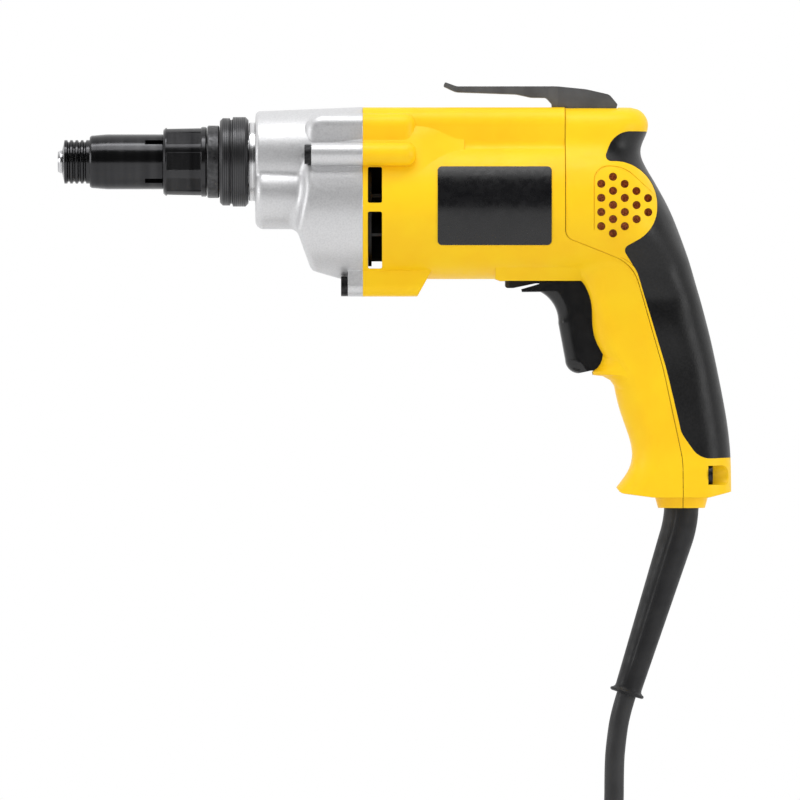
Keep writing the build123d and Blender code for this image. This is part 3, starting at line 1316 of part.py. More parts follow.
def clutch_gear():
    phase = SPINDLE_MESH + math.pi + math.pi / CLUTCH_TEETH
    piece = gear(SPINDLE, SPINDLE_MODULE, CLUTCH_TEETH, phase, CLUTCH_TEETH_FRONT, CLUTCH_TEETH_REAR)
    piece += rod(SPINDLE, DOG_OUTER_R, CLUTCH_FACE, CLUTCH_TEETH_FRONT)
    piece += rod(SPINDLE, REAR_BUSH_R, CLUTCH_TEETH_REAR, PLATE_FACE - PLAY)
    for dog in dogs(0.0, CLUTCH_FACE - DOG_HEIGHT, CLUTCH_FACE):
        piece += dog
    piece -= rod(SPINDLE, TAIL_R + FIT, CLUTCH_FACE - 5, PLATE_FACE + 1)
    return piece - rod(SPINDLE, SPRING_ROOM_R, CLUTCH_FACE - 5, CLUTCH_FACE + SPRING_POCKET)


def spindle_front_bush():
    return pipe(SPINDLE, FRONT_BUSH_R, SPINDLE_R + FIT, FRONT_BUSH_X, SPIGOT_REAR)


def spindle_rear_bush():
    return pipe(SPINDLE, REAR_BUSH_R, TAIL_R + FIT, PLATE_FACE, PLATE_FACE + REAR_BUSH)


# Idler between the motor pinion and the clutch gear

def idler_pinion():
    piece = gear(
        IDLER, SPINDLE_MODULE, IDLER_PINION_TEETH, SPINDLE_MESH, CLUTCH_TEETH_FRONT, CLUTCH_TEETH_REAR)
    piece += rod(IDLER, IDLER_FRONT_R, IDLER_BUSH_FRONT + PLAY, CLUTCH_TEETH_FRONT)
    piece += rod(IDLER, IDLER_SEAT_R, CLUTCH_TEETH_REAR, MOTOR_GEAR_REAR)
    return piece + rod(IDLER, IDLER_REAR_R, MOTOR_GEAR_REAR, PLATE_FACE + IDLER_REAR_BUSH - PLAY)


def idler_gear():
    phase = MOTOR_MESH + math.pi + math.pi / IDLER_TEETH
    wheel = gear(IDLER, MOTOR_MODULE, IDLER_TEETH, phase, MOTOR_GEAR_FRONT, MOTOR_GEAR_REAR)
    return wheel - rod(IDLER, IDLER_SEAT_R + FIT / 2, MOTOR_GEAR_FRONT - 1, MOTOR_GEAR_REAR + 1)


def idler_front_bush():
    return pipe(IDLER, IDLER_FRONT_BUSH_R, IDLER_FRONT_R + FIT, IDLER_BUSH_FRONT, IDLER_BUSH_REAR)


def idler_rear_bush():
    return pipe(IDLER, IDLER_REAR_BUSH_R, IDLER_REAR_R + FIT, PLATE_FACE, PLATE_FACE + IDLER_REAR_BUSH)


# Motor

def armature_shaft():
    pinion = gear(MOTOR, MOTOR_MODULE, MOTOR_TEETH, MOTOR_MESH, MOTOR_GEAR_FRONT, MOTOR_GEAR_REAR)
    return pinion + rod(MOTOR, SHAFT_R, MOTOR_GEAR_REAR, SHAFT_REAR)


def motor_bearing(front):
    ring = pipe(MOTOR, BEARING_R, SHAFT_R + FIT, front, front + BEARING)
    middle = (BEARING_R + SHAFT_R) / 2
    for x in (front - 1, front + BEARING - 0.4):
        ring -= pipe(MOTOR, middle + 1.3, middle - 1.3, x, x + 1.4)
    return ring


def motor_spokes(count, first, width, inner, outer, front, rear):
    spokes = []
    for i in range(count):
        spot = Pos((front + rear) / 2, 0, MOTOR_Z + (inner + outer) / 2)
        box = spot * Box(rear - front, width, outer - inner)
        spokes.append(around(MOTOR, box, first + 360.0 * i / count))
    return spokes


def cooling_fan():
    disc = 1.6
    fan = rod(MOTOR, FAN_R, FAN_FRONT, FAN_FRONT + disc) + rod(MOTOR, SHAFT_R + 4.5, FAN_FRONT, FAN_REAR)
    for blade in motor_spokes(FAN_BLADES, 0.0, 1.6, SHAFT_R + 6, FAN_R - 1, FAN_FRONT + disc / 2, FAN_REAR):
        fan += blade
    return fan - rod(MOTOR, SHAFT_SEAT, FAN_FRONT - 1, FAN_REAR + 1)


def fan_baffle():
    return pipe(MOTOR, BORE_R - FIT, BAFFLE_BORE_R, BAFFLE_FRONT, BAFFLE_FRONT + BAFFLE)


def armature_core():
    core = pipe(MOTOR, CORE_R, SHAFT_SEAT, CORE_FRONT, CORE_REAR)
    for slot in motor_spokes(
            CORE_SLOTS, 0.0, CORE_SLOT, CORE_SLOT_FLOOR_R, CORE_R + 3, CORE_FRONT - 1, CORE_REAR + 1):
        core -= slot
    return core


def armature_windings():
    front = CORE_FRONT - WINDING_END
    rear = CORE_REAR + WINDING_END
    inner = SHAFT_R + 4.0
    wound = fillet(front_of(pipe(MOTOR, WINDING_R, inner, front, CORE_FRONT)), 2.0)
    wound += fillet(rear_of(pipe(MOTOR, WINDING_R, inner, CORE_REAR, rear)), 2.0)
    for bar in motor_spokes(
            CORE_SLOTS, 0.0, WINDING_BAR, CORE_SLOT_FLOOR_R + 0.2, WINDING_R - 0.3,
            CORE_FRONT - 1, CORE_REAR + 1):
        wound += bar
    return wound


def commutator():
    riser = 2.0
    drum = rod(MOTOR, COMMUTATOR_R, COMMUTATOR_FRONT, COMMUTATOR_REAR)
    drum += rod(MOTOR, COMMUTATOR_R + 1.5, COMMUTATOR_FRONT, COMMUTATOR_FRONT + riser)
    for cut in motor_spokes(
            COMMUTATOR_BARS, 0.0, 0.5, COMMUTATOR_R - 0.8, COMMUTATOR_R + 3,
            COMMUTATOR_FRONT - 1, COMMUTATOR_REAR + 1):
        drum -= cut
    return drum - rod(MOTOR, SHAFT_SEAT, COMMUTATOR_FRONT - 1, COMMUTATOR_REAR + 1)


def bearing_spider():
    front = PARTING_X - SPIDER
    hub = BEARING_R + FIT + SPIDER_HUB_WALL
    lip = SHAFT_REAR + 1.0
    spider = pipe(MOTOR, BORE_R - FIT, BORE_R - 3.0, front, PARTING_X) + rod(MOTOR, hub, front, lip)
    for arm in motor_spokes(4, 45.0, SPIDER_ARM, hub - 1.0, BORE_R - 1.5, front, PARTING_X):
        spider += arm
    spider -= rod(MOTOR, BEARING_R + FIT, front - 1, SHAFT_REAR)
    return spider - rod(MOTOR, BEARING_R - 2, front - 1, lip + 1)


def field_core():
    ring = Circle(BORE_R - FIT) - Circle(BORE_R - FIELD_RING)
    for middle in (90.0, 270.0):
        ring += sector(FIELD_R, BORE_R - FIELD_RING + 0.5, middle, POLE_ANGLE)
    return extrude(axis_plane(MOTOR, CORE_FRONT) * ring, CORE_LENGTH)


def field_coils():
    inner = FIELD_R + 1.0
    outer = BORE_R - FIELD_RING - 0.2
    coils = []
    for middle in (90.0, 270.0):
        coil = extrude(
            axis_plane(MOTOR, CORE_FRONT - COIL_END) * sector(inner, outer, middle, COIL_ANGLE),
            CORE_LENGTH + 2 * COIL_END)
        window = extrude(
            axis_plane(MOTOR, CORE_FRONT - FIT) * sector(inner - 1, outer + 1, middle, POLE_ANGLE + 0.3),
            CORE_LENGTH + 2 * FIT)
        coils.append(coil - window)
    return group(coils)


def beside(side, half_x, half_z, near, far):
    centre = Pos(BRUSH_X, side * (near + far) / 2, MOTOR_Z)
    return centre * Box(2 * half_x, far - near, 2 * half_z)


def brush_holders():
    half_x = BRUSH_DEPTH / 2 + BRUSH_PLAY
    half_z = BRUSH_WIDTH / 2 + BRUSH_PLAY
    boxes = []
    for side in (-1, 1):
        outer = beside(side, half_x + HOLDER_WALL, half_z + HOLDER_WALL, COMMUTATOR_R + 2.5, HOLDER_TOP)
        boxes.append(outer - beside(side, half_x, half_z, COMMUTATOR_R, HOLDER_TOP - HOLDER_CAP))
    return group(boxes)


def carbon_brushes():
    drum = rod(MOTOR, COMMUTATOR_R + BRUSH_GAP, COMMUTATOR_FRONT - 10, COMMUTATOR_REAR + 10)
    brushes = []
    for side in (-1, 1):
        brushes.append(beside(side, BRUSH_DEPTH / 2, BRUSH_WIDTH / 2, COMMUTATOR_R - 2, BRUSH_OUT) - drum)
    return group(brushes)


def brush_springs():
    length = HOLDER_TOP - HOLDER_CAP - BRUSH_OUT - 2 * FIT
    springs = []
    for side in (-1, 1):
        foot = (BRUSH_X, side * (BRUSH_OUT + FIT), MOTOR_Z)
        springs.append(spring(foot, (0, side, 0), BRUSH_SPRING_R, BRUSH_SPRING_WIRE, length, 5))
    return group(springs)


# Switch

def switch_body():
    box = block(SWITCH_FRONT, SWITCH_FRONT + SWITCH_LENGTH, SWITCH_HALF, SWITCH_BOTTOM, SWITCH_TOP)
    box = fillet(box.edges().filter_by(Axis.Z), 1.5)
    return box - rod((0, STEM_Z), STEM_R + FIT, SWITCH_FRONT - 1, STEM_END + TRIGGER_TRAVEL + 1)


def trigger():
    crown = (-54.3, TRIGGER_TOP)
    outline = make_face([
        Line((TRIGGER_BACK, TRIGGER_TOP), crown),
        Line(crown, (TRIGGER_WING, TRIGGER_WING_Z + 0.3)),
        Line((TRIGGER_WING, TRIGGER_WING_Z + 0.3), (TRIGGER_WING + 0.4, TRIGGER_WING_Z - 1.0)),
        Line((TRIGGER_WING + 0.4, TRIGGER_WING_Z - 1.0), (-53.9, 46.0)),
        ThreePointArc((-53.9, 46.0), (-47.9, 40.6), (-45.4, 31.4)),
        Line((-45.4, 31.4), (-42.2, 14.2)),
        ThreePointArc((-42.2, 14.2), (-40.2, 9.6), (-36.0, TRIGGER_BOTTOM)),
        Line((-36.0, TRIGGER_BOTTOM), (-30.3, TRIGGER_BOTTOM + 1.2)),
        Line((-30.3, TRIGGER_BOTTOM + 1.2), (TRIGGER_BACK, TRIGGER_BOTTOM + 1.8)),
        Line((TRIGGER_BACK, TRIGGER_BOTTOM + 1.8), (TRIGGER_BACK, TRIGGER_TOP)),
    ])
    piece = slab(outline, TRIGGER_HALF)
    sides = [
        edge for edge in piece.edges()
        if abs(edge.center().Y) > TRIGGER_HALF - 0.1 and edge.center().X < -37 and edge.center().Z < 45
    ]
    piece = fillet(sides, TRIGGER_EDGE)
    channel = TRIGGER_HALF - TRIGGER_RAIL_WIDTH
    rail_top = TRIGGER_TOP + TRIGGER_RAIL
    piece += block(crown[0], TRIGGER_BACK, TRIGGER_HALF, TRIGGER_TOP - 1, rail_top) - block(
        crown[0] - 1, TRIGGER_BACK + 1, channel, TRIGGER_TOP - 1, rail_top + 1)
    stem = (0, STEM_Z)
    room = TRIGGER_SPRING_R + TRIGGER_SPRING_WIRE / 2 + PLAY
    piece -= rod(stem, room, TRIGGER_BACK - TRIGGER_POCKET, TRIGGER_BACK + 1)
    return piece + rod(stem, STEM_R, TRIGGER_BACK - TRIGGER_POCKET - 1, STEM_END)


def trigger_spring():
    front = TRIGGER_BACK - TRIGGER_POCKET + FIT
    return spring(
        (front, 0, STEM_Z), (1, 0, 0), TRIGGER_SPRING_R, TRIGGER_SPRING_WIRE, SWITCH_FRONT - FIT - front, 6)


def reversing_lever():
    tip_r = 3.6
    tail_r = 2.4
    top = LEVER_BOTTOM + LEVER
    hub = Pos(LEVER_X, 0) * Circle(LEVER_HUB_R)
    tip = Pos(LEVER_FRONT + tip_r, 0) * Circle(tip_r)
    end = Pos(LEVER_REAR - tail_r, 0) * Circle(tail_r)
    plan = make_hull(hub.edges() + tip.edges()) + make_hull(hub.edges() + end.edges())
    slope = LEVER_FRONT + LEVER_TIP_LENGTH
    far = LEVER_REAR + 1
    line = [
        (LEVER_FRONT, top + 2), (LEVER_FRONT, LEVER_TIP_BOTTOM), (slope, LEVER_TIP_BOTTOM),
        (slope + LEVER_WEDGE, LEVER_BOTTOM), (far, LEVER_BOTTOM),
    ]
    profile = slab(rounded_region(line, [1.4, 4.0, 4.0], [(far, top + 2)]), 20.0)
    lever = extrude(Plane.XY.offset(LEVER_TIP_BOTTOM - 1) * plan, top - LEVER_TIP_BOTTOM + 1) & profile
    return lever - upright(LEVER_X, 0, LEVER_PIN_R + FIT, LEVER_BOTTOM - 1, top + 1)


# Cord inside the handle, its protector and its clamp

CORD_BEND = (CORD_X, 0.0, BOOT_BEND_Z)
CORD_EXIT = Vector(BOOT_END_X, 0.0, BOOT_END_Z)
EXIT_WAY = (CORD_EXIT - Vector(*CORD_BEND)).normalized()


def entry_path(top):
    return rounded_edges([(CORD_X, 0.0, top), CORD_BEND, tuple(CORD_EXIT)], [BOOT_BEND_R])


def cord_protector():
    top, bend, taper = entry_path(BASE_FLOOR)
    boot = round_wire([top, bend], BOOT_R)
    ends = [
        Plane(origin=taper @ 0, z_dir=EXIT_WAY) * Circle(BOOT_R),
        Plane(origin=taper @ 1, z_dir=EXIT_WAY) * Circle(BOOT_END_R),
    ]
    boot += loft(ends)
    boot += upright(CORD_X, 0, BOOT_FLANGE_R, BASE_FLOOR, BASE_FLOOR + BOOT_FLANGE)
    rim = Plane(origin=CORD_EXIT - EXIT_WAY * BOOT_RIM, z_dir=EXIT_WAY)
    boot += extrude(rim * Circle(BOOT_RIM_R), BOOT_RIM)
    above = (CORD_X, 0.0, BASE_FLOOR + 20)
    beyond = tuple(CORD_EXIT + EXIT_WAY * 5)
    return boot - round_wire(rounded_edges([above, CORD_BEND, beyond], [BOOT_BEND_R]), CORD_R + FIT)


def cord_inside():
    return round_wire(entry_path(JACKET_TOP), CORD_R)


def cord_clamp():
    bar = block(CLAMP_FRONT, CLAMP_REAR, CLAMP_HALF, CLAMP_LOW, CLAMP_LOW + CLAMP_HEIGHT)
    bar -= upright(CORD_X, 0, CORD_R + FIT, CLAMP_LOW - 1, CLAMP_LOW + CLAMP_HEIGHT + 1)
    for place in CLAMP_SCREWS:
        bar -= rod(place, CLAMP_SCREW_R + 0.1, CLAMP_FRONT - 1, CLAMP_REAR + 1)
    return bar


def cord_clamp_screws():
    screws = []
    for place in CLAMP_SCREWS:
        screw = rod(place, CLAMP_SCREW_R - FIT, CLAMP_REAR - CLAMP_SCREW_LENGTH, CLAMP_REAR)
        screw += rod(place, CLAMP_SCREW_R * 1.9, CLAMP_REAR, CLAMP_REAR + CLAMP_SCREW_HEAD)
        screws.append(screw - cross_recess(place, CLAMP_REAR + CLAMP_SCREW_HEAD, depth=0.9, width=3.2))
    return group(screws)


# Cord outside: it hangs from the protector and lies in a tied coil below the tool

COIL_TOP = DROP_BEND_TOP - DROP_BEND_R
COIL_REACH = DROP_BEND_R + DROP_LEAD + 2 * CORD_R
COIL_HEADING = math.pi - math.atan(COIL_OUTER / COIL_REACH)
HEADING = Vector(math.cos(COIL_HEADING), math.sin(COIL_HEADING), 0)
COIL_START = Vector(DROP_X, 0, COIL_TOP) + HEADING * COIL_REACH
COIL_CENTRE = COIL_START + Vector(-HEADING.Y, HEADING.X, 0) * COIL_OUTER
COIL_INNER = COIL_OUTER - COIL_PITCH * LAYER_TURNS
COIL_FLOOR = COIL_TOP - (COIL_LAYERS - 1) * COIL_PITCH - CORD_R


def fitted_radii(points):
    # each arc takes 0.45 of the shorter of its two runs
    radii = []
    spots = [Vector(*point) for point in points]
    for before, corner, after in zip(spots, spots[1:], spots[2:]):
        turn = math.radians((corner - before).get_angle(after - corner))
        radii.append(0.45 * min((corner - before).length, (after - corner).length) / math.tan(turn / 2))
    return radii


def drop_points():
    points = [tuple(CORD_EXIT), tuple(CORD_EXIT + EXIT_WAY * 10.0), (DROP_X + 1.0, 0.0, -164.5)]
    points.append((DROP_X, 0.0, DROP_BEND_TOP + 14.5))
    step = math.pi / 2 / DROP_BEND_STEPS
    corner_r = DROP_BEND_R / math.cos(step / 2)
    for i in range(DROP_BEND_STEPS):
        angle = (i + 0.5) * step
        out = DROP_BEND_R - corner_r * math.cos(angle)
        spot = Vector(DROP_X, 0, DROP_BEND_TOP - corner_r * math.sin(angle)) + HEADING * out
        points.append(tuple(spot))
    points.append(tuple(COIL_START - HEADING * 2 * CORD_R))
    return points


def coil_nodes():
    nodes = COIL_LAYERS * LAYER_NODES
    step = 2 * math.pi * LAYER_TURNS / LAYER_NODES
    draw = COIL_PITCH / (2 * math.pi)
    points = []
    tangents = []
    for i in range(nodes + 1):
        layer, place = divmod(i, LAYER_NODES)
        inward = layer % 2 == 0
        share = place / LAYER_NODES
        radius = COIL_OUTER - (share if inward else 1 - share) * (COIL_OUTER - COIL_INNER)
        height = COIL_TOP - layer * COIL_PITCH
        growth = -draw if inward else draw
        fall = 0.0
        if place == 0:
            growth = 0.0
            if 0 < i < nodes:
                height += COIL_PITCH / 2
                fall = -0.75 * COIL_PITCH / step
            if i == nodes:
                height += COIL_PITCH
        angle = COIL_HEADING - math.pi / 2 + i * step
        outward = Vector(math.cos(angle), math.sin(angle), 0)
        along = Vector(-math.sin(angle), math.cos(angle), 0)
        points.append(Vector(COIL_CENTRE.X, COIL_CENTRE.Y, height) + outward * radius)
        tangents.append((along * radius + outward * growth + Vector(0, 0, fall)).normalized())
    return points, tangents


COIL_POINTS, COIL_WAYS = coil_nodes()
TAIL_WAY = COIL_WAYS[-1]
TAIL_START = COIL_POINTS[-1] + TAIL_WAY * 2 * CORD_R


def coil_edges():
    lead = Line(COIL_START - HEADING * 2 * CORD_R, COIL_START)
    leave = Line(COIL_POINTS[-1], TAIL_START)
    return [lead] + wire_through(COIL_POINTS, COIL_WAYS) + [leave]


def tail_points():
    rise = Vector(0, 0, COIL_FLOOR + PLUG_HALF_HEIGHT - TAIL_START.Z)
    second = TAIL_START + TAIL_WAY * TAIL_RUN
    third = TAIL_START + TAIL_WAY * 2 * TAIL_RUN + rise
    return [tuple(TAIL_START), tuple(second), tuple(third), tuple(third + TAIL_WAY * TAIL_RUN)]


def cord_tube(name, points):
    radii = fitted_radii(points)
    print(name, "arc radii", [round(radius, 1) for radius in radii])
    return round_wire(rounded_edges(points, radii), CORD_R)


def cord_coil():
    edges = coil_edges()
    print("cord_coil least gap", round(least_gap(edges, CORD_R), 2), "length", round(Wire(edges).length))
    return round_wire(edges, CORD_R)


def coil_tie():
    angle = COIL_HEADING - math.pi / 2 + 2 * math.pi * TIE_TURN
    outward = Vector(math.cos(angle), math.sin(angle), 0)
    middle = (COIL_OUTER + COIL_INNER) / 2
    low = COIL_FLOOR - FIT
    high = COIL_TOP + CORD_R + FIT
    width = COIL_OUTER - COIL_INNER + 2 * (CORD_R + TIE_PLAY)
    centre = Vector(COIL_CENTRE.X, COIL_CENTRE.Y, (low + high) / 2) + outward * middle
    around_bundle = Plane(origin=centre, x_dir=outward, z_dir=outward.cross(Vector(0, 0, 1)))
    band = RectangleRounded(width + 2 * TIE, high - low + 2 * TIE, 3.0 + TIE)
    band -= RectangleRounded(width, high - low, 1.0)
    return extrude(around_bundle * band, TIE_WIDTH / 2, both=True)


def plug_plane(reach):
    return Plane(
        origin=Vector(*tail_points()[-1]) + TAIL_WAY * reach,
        x_dir=TAIL_WAY.cross(Vector(0, 0, 1)),
        z_dir=TAIL_WAY)


def plug_body():
    wide = 2 * PLUG_HALF_WIDTH
    tall = 2 * PLUG_HALF_HEIGHT
    neck = 2 * CORD_R + 3.0
    sections = [
        plug_plane(0.0) * RectangleRounded(neck, neck - 0.4, neck / 2 - 0.5),
        plug_plane(PLUG_LENGTH * 0.3) * RectangleRounded(neck + 2, neck, neck / 2 - 0.5),
        plug_plane(PLUG_LENGTH * 0.55) * RectangleRounded(wide - 1, tall - 0.4, 5.0),
        plug_plane(PLUG_LENGTH) * RectangleRounded(wide, tall, 5.0),
    ]
    return loft(sections)


def plug_blades():
    blades = []
    for side in (-1, 1):
        spot = plug_plane(PLUG_LENGTH) * Pos(side * BLADE_SPACING / 2, 0)
        blades.append(extrude(spot * Rectangle(BLADE_THICKNESS, BLADE_WIDTH), BLADE_LENGTH))
    return group(blades)


# All the pieces, each under the name of its node

GRIP = rubber_grip()
PIECES = {
    "nose_tip_ring": nose_tip_ring(),
    "depth_locator": depth_locator(),
    "nose_tube": nose_tube(),
    "adjusting_collar": adjusting_collar(),
    "detent_ring": detent_ring(),
    "locking_collar": locking_collar(),
    "collar_retaining_ring": collar_retaining_ring(),
    "front_spigot": front_spigot(),
    "bit_holder": bit_holder(),
    "bit_magnet": bit_magnet(),
    "bit_retaining_ring": bit_retaining_ring(),
    "spindle": spindle(),
    "thrust_washer": thrust_washer(),
    "clutch_spring": clutch_spring(),
    "clutch_gear": clutch_gear(),
    "spindle_front_bush": spindle_front_bush(),
    "spindle_rear_bush": spindle_rear_bush(),
    "idler_pinion": idler_pinion(),
    "idler_gear": idler_gear(),
    "idler_front_bush": idler_front_bush(),
    "idler_rear_bush": idler_rear_bush(),
    "gear_case": gear_case(),
    "gear_case_screws": gear_case_screws(),
    "bearing_plate": bearing_plate(),
    "armature_shaft": armature_shaft(),
    "armature_core": armature_core(),
    "armature_windings": armature_windings(),
    "commutator": commutator(),
    "cooling_fan": cooling_fan(),
    "fan_baffle": fan_baffle(),
    "front_motor_bearing": motor_bearing(BEARING_FRONT),
    "rear_motor_bearing": motor_bearing(REAR_BEARING),
    "bearing_spider": bearing_spider(),
    "field_core": field_core(),
    "field_coils": field_coils(),
    "brush_holders": brush_holders(),
    "carbon_brushes": carbon_brushes(),
    "brush_springs": brush_springs(),
    "motor_housing": motor_housing(),
    "nameplates": nameplates(),
    "rear_cover": rear_cover(GRIP),
    "rear_cover_screws": cover_screws(),
    "rubber_grip": GRIP,
    "belt_clip": belt_clip(),
    "belt_clip_screw": belt_clip_screw(),
    "switch_body": switch_body(),
    "trigger": trigger(),
    "trigger_spring": trigger_spring(),
    "reversing_lever": reversing_lever(),
    "cord_protector": cord_protector(),
    "cord_inside": cord_inside(),
    "cord_clamp": cord_clamp(),
    "cord_clamp_screws": cord_clamp_screws(),
    "cord_drop": cord_tube("cord_drop", drop_points()),
    "cord_coil": cord_coil(),
    "cord_tail": cord_tube("cord_tail", tail_points()),
    "coil_tie": coil_tie(),
    "plug_body": plug_body(),
    "plug_blades": plug_blades(),
}

for name, piece in PIECES.items():
    export_step(piece, f"parts/{name}.step")
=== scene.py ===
import math

import bpy
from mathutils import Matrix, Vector


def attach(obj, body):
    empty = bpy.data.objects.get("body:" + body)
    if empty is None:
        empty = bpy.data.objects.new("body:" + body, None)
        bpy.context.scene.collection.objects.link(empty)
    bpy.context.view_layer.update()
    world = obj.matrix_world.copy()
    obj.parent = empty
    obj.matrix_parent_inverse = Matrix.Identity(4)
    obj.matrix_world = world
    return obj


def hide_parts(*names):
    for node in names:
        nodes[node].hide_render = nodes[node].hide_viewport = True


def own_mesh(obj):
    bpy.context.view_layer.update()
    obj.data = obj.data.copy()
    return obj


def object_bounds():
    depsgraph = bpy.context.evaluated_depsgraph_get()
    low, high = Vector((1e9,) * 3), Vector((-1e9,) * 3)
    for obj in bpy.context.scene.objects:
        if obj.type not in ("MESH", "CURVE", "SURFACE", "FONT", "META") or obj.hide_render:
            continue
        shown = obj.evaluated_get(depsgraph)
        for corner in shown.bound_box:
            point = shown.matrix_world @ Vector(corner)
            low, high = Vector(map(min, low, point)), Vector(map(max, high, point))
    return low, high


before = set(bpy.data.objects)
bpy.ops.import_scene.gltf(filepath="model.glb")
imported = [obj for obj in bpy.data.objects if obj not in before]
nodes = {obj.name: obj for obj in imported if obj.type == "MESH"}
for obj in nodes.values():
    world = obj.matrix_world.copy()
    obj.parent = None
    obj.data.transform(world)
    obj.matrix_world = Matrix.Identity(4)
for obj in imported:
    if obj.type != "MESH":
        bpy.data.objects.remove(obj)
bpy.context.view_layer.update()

# View. The tool is seen square from its left side, as on a sales sheet, through a long lens
# that keeps the nose and the grip in true proportion.
VIEW_WIDTH = 0.3752
VIEW_CENTRE = Vector((-0.1196, 0.0, -0.0047))
LENS = 600.0                # in millimetres, as is the sensor
SENSOR = 36.0
FARTHEST_SEEN = 20.0

lens_data = bpy.data.cameras.new("side_view")
lens_data.lens = LENS
lens_data.sensor_width = SENSOR
lens_data.clip_end = FARTHEST_SEEN
camera = bpy.data.objects.new("side_view", lens_data)
camera.location = VIEW_CENTRE - Vector((0, VIEW_WIDTH * LENS / SENSOR, 0))
camera.rotation_euler = (math.pi / 2, 0, 0)
bpy.context.scene.collection.objects.link(camera)
bpy.context.scene.camera = camera
bpy.context.scene.view_settings.view_transform = "Standard"

# Floor. A white sweep lies under the coiled cord. Close to the tool it takes light and shadow as
# white card does, and further off it runs into the white of the studio.
FLOOR_GAP = 0.0002          # under the lowest turn of the cord
FLOOR_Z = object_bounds()[0].z - FLOOR_GAP
FLOOR_SIZE = 12.0
FLOOR_WHITE = (0.93, 0.93, 0.93, 1)
FLOOR_ROUGHNESS = 0.9
SHADOW_NEAR = 0.35          # distance from the tool up to which the card is card
SHADOW_REACH = 0.75         # distance where it has become plain white
FULL_WHITE = 1.0            # strength at which a white glow shows as white


def either(tree, first, second):
    # 1 on rays of the one kind or of the other
    larger = tree.nodes.new("ShaderNodeMath")
    larger.operation = "MAXIMUM"
    tree.links.new(first, larger.inputs[0])
    tree.links.new(second, larger.inputs[1])
    return larger.outputs[0]


def seen_directly(tree, rays):
    # 1 on rays from the eye, straight or through glass
    return either(tree, rays.outputs["Is Camera Ray"], rays.outputs["Is Transmission Ray"])


bpy.ops.object.select_all(action="DESELECT")
bpy.ops.mesh.primitive_plane_add(size=FLOOR_SIZE, location=(0, 0, FLOOR_Z))
floor = bpy.context.object
floor.name = "floor"
floor_card = bpy.data.materials.new("floor_card")
floor_card.use_nodes = True
floor_tree = floor_card.node_tree
card = floor_tree.nodes["Principled BSDF"]
card.inputs["Base Color"].default_value = FLOOR_WHITE
card.inputs["Roughness"].default_value = FLOOR_ROUGHNESS
far_white = floor_tree.nodes.new("ShaderNodeEmission")
far_white.inputs["Strength"].default_value = FULL_WHITE
floor_place = floor_tree.nodes.new("ShaderNodeTexCoord")
distance = floor_tree.nodes.new("ShaderNodeVectorMath")
distance.operation = "LENGTH"
floor_tree.links.new(floor_place.outputs["Object"], distance.inputs[0])
far_off = floor_tree.nodes.new("ShaderNodeMapRange")
far_off.interpolation_type = "SMOOTHSTEP"
far_off.inputs["From Min"].default_value = SHADOW_NEAR
far_off.inputs["From Max"].default_value = SHADOW_REACH
floor_tree.links.new(distance.outputs["Value"], far_off.inputs["Value"])
floor_rays = floor_tree.nodes.new("ShaderNodeLightPath")
floor_direct = seen_directly(floor_tree, floor_rays)
floor_seen = either(floor_tree, floor_direct, floor_rays.outputs["Is Glossy Ray"])
far_and_seen = floor_tree.nodes.new("ShaderNodeMath")
far_and_seen.operation = "MULTIPLY"
floor_tree.links.new(far_off.outputs["Result"], far_and_seen.inputs[0])
floor_tree.links.new(floor_seen, far_and_seen.inputs[1])
floor_mix = floor_tree.nodes.new("ShaderNodeMixShader")
floor_tree.links.new(far_and_seen.outputs[0], floor_mix.inputs[0])
floor_tree.links.new(card.outputs[0], floor_mix.inputs[1])
floor_tree.links.new(far_white.outputs[0], floor_mix.inputs[2])
floor_tree.links.new(floor_mix.outputs[0], floor_tree.nodes["Material Output"].inputs[0])
floor.data.materials.append(floor_card)

# Studio and lamps. White walls stand behind and beside the tool, and the room is darker on the
# viewer's side. A broad lamp and a long narrow one hang overhead, and one more stands at each end.
ROOM_LIGHT = 0.66           # soft light from the walls
ROOM_DARK = (0.04, 0.04, 0.04, 1)
ROOM_WHITE = (1, 1, 1, 1)
DARK_TO = 0.26              # share of the room, from the viewer's side, that mirrors as dark
WHITE_FROM = 0.66           # share from which it mirrors as white
TOOL_MIDDLE = Vector((-0.12, 0, 0.05))

world = bpy.data.worlds.new("studio")
bpy.context.scene.world = world
world.use_nodes = True
room = world.node_tree
walls = room.nodes["Background"]
walls.inputs["Color"].default_value = ROOM_WHITE
walls.inputs["Strength"].default_value = ROOM_LIGHT
room_side = room.nodes.new("ShaderNodeTexCoord")
towards = room.nodes.new("ShaderNodeSeparateXYZ")
room.links.new(room_side.outputs["Generated"], towards.inputs[0])
room_depth = room.nodes.new("ShaderNodeMapRange")
room_depth.inputs["From Min"].default_value = -1.0
room_depth.inputs["From Max"].default_value = 1.0
room.links.new(towards.outputs["Y"], room_depth.inputs["Value"])
wall_shade = room.nodes.new("ShaderNodeValToRGB")
wall_shade.color_ramp.elements[0].position = DARK_TO
wall_shade.color_ramp.elements[0].color = ROOM_DARK
wall_shade.color_ramp.elements[1].position = WHITE_FROM
wall_shade.color_ramp.elements[1].color = ROOM_WHITE
room.links.new(room_depth.outputs["Result"], wall_shade.inputs["Fac"])
mirrored_walls = room.nodes.new("ShaderNodeBackground")
mirrored_walls.inputs["Strength"].default_value = FULL_WHITE
room.links.new(wall_shade.outputs["Color"], mirrored_walls.inputs["Color"])
backdrop = room.nodes.new("ShaderNodeBackground")
backdrop.inputs["Color"].default_value = ROOM_WHITE
backdrop.inputs["Strength"].default_value = FULL_WHITE
room_rays = room.nodes.new("ShaderNodeLightPath")
in_gloss = room.nodes.new("ShaderNodeMixShader")
room.links.new(room_rays.outputs["Is Glossy Ray"], in_gloss.inputs[0])
room.links.new(walls.outputs[0], in_gloss.inputs[1])
room.links.new(mirrored_walls.outputs[0], in_gloss.inputs[2])
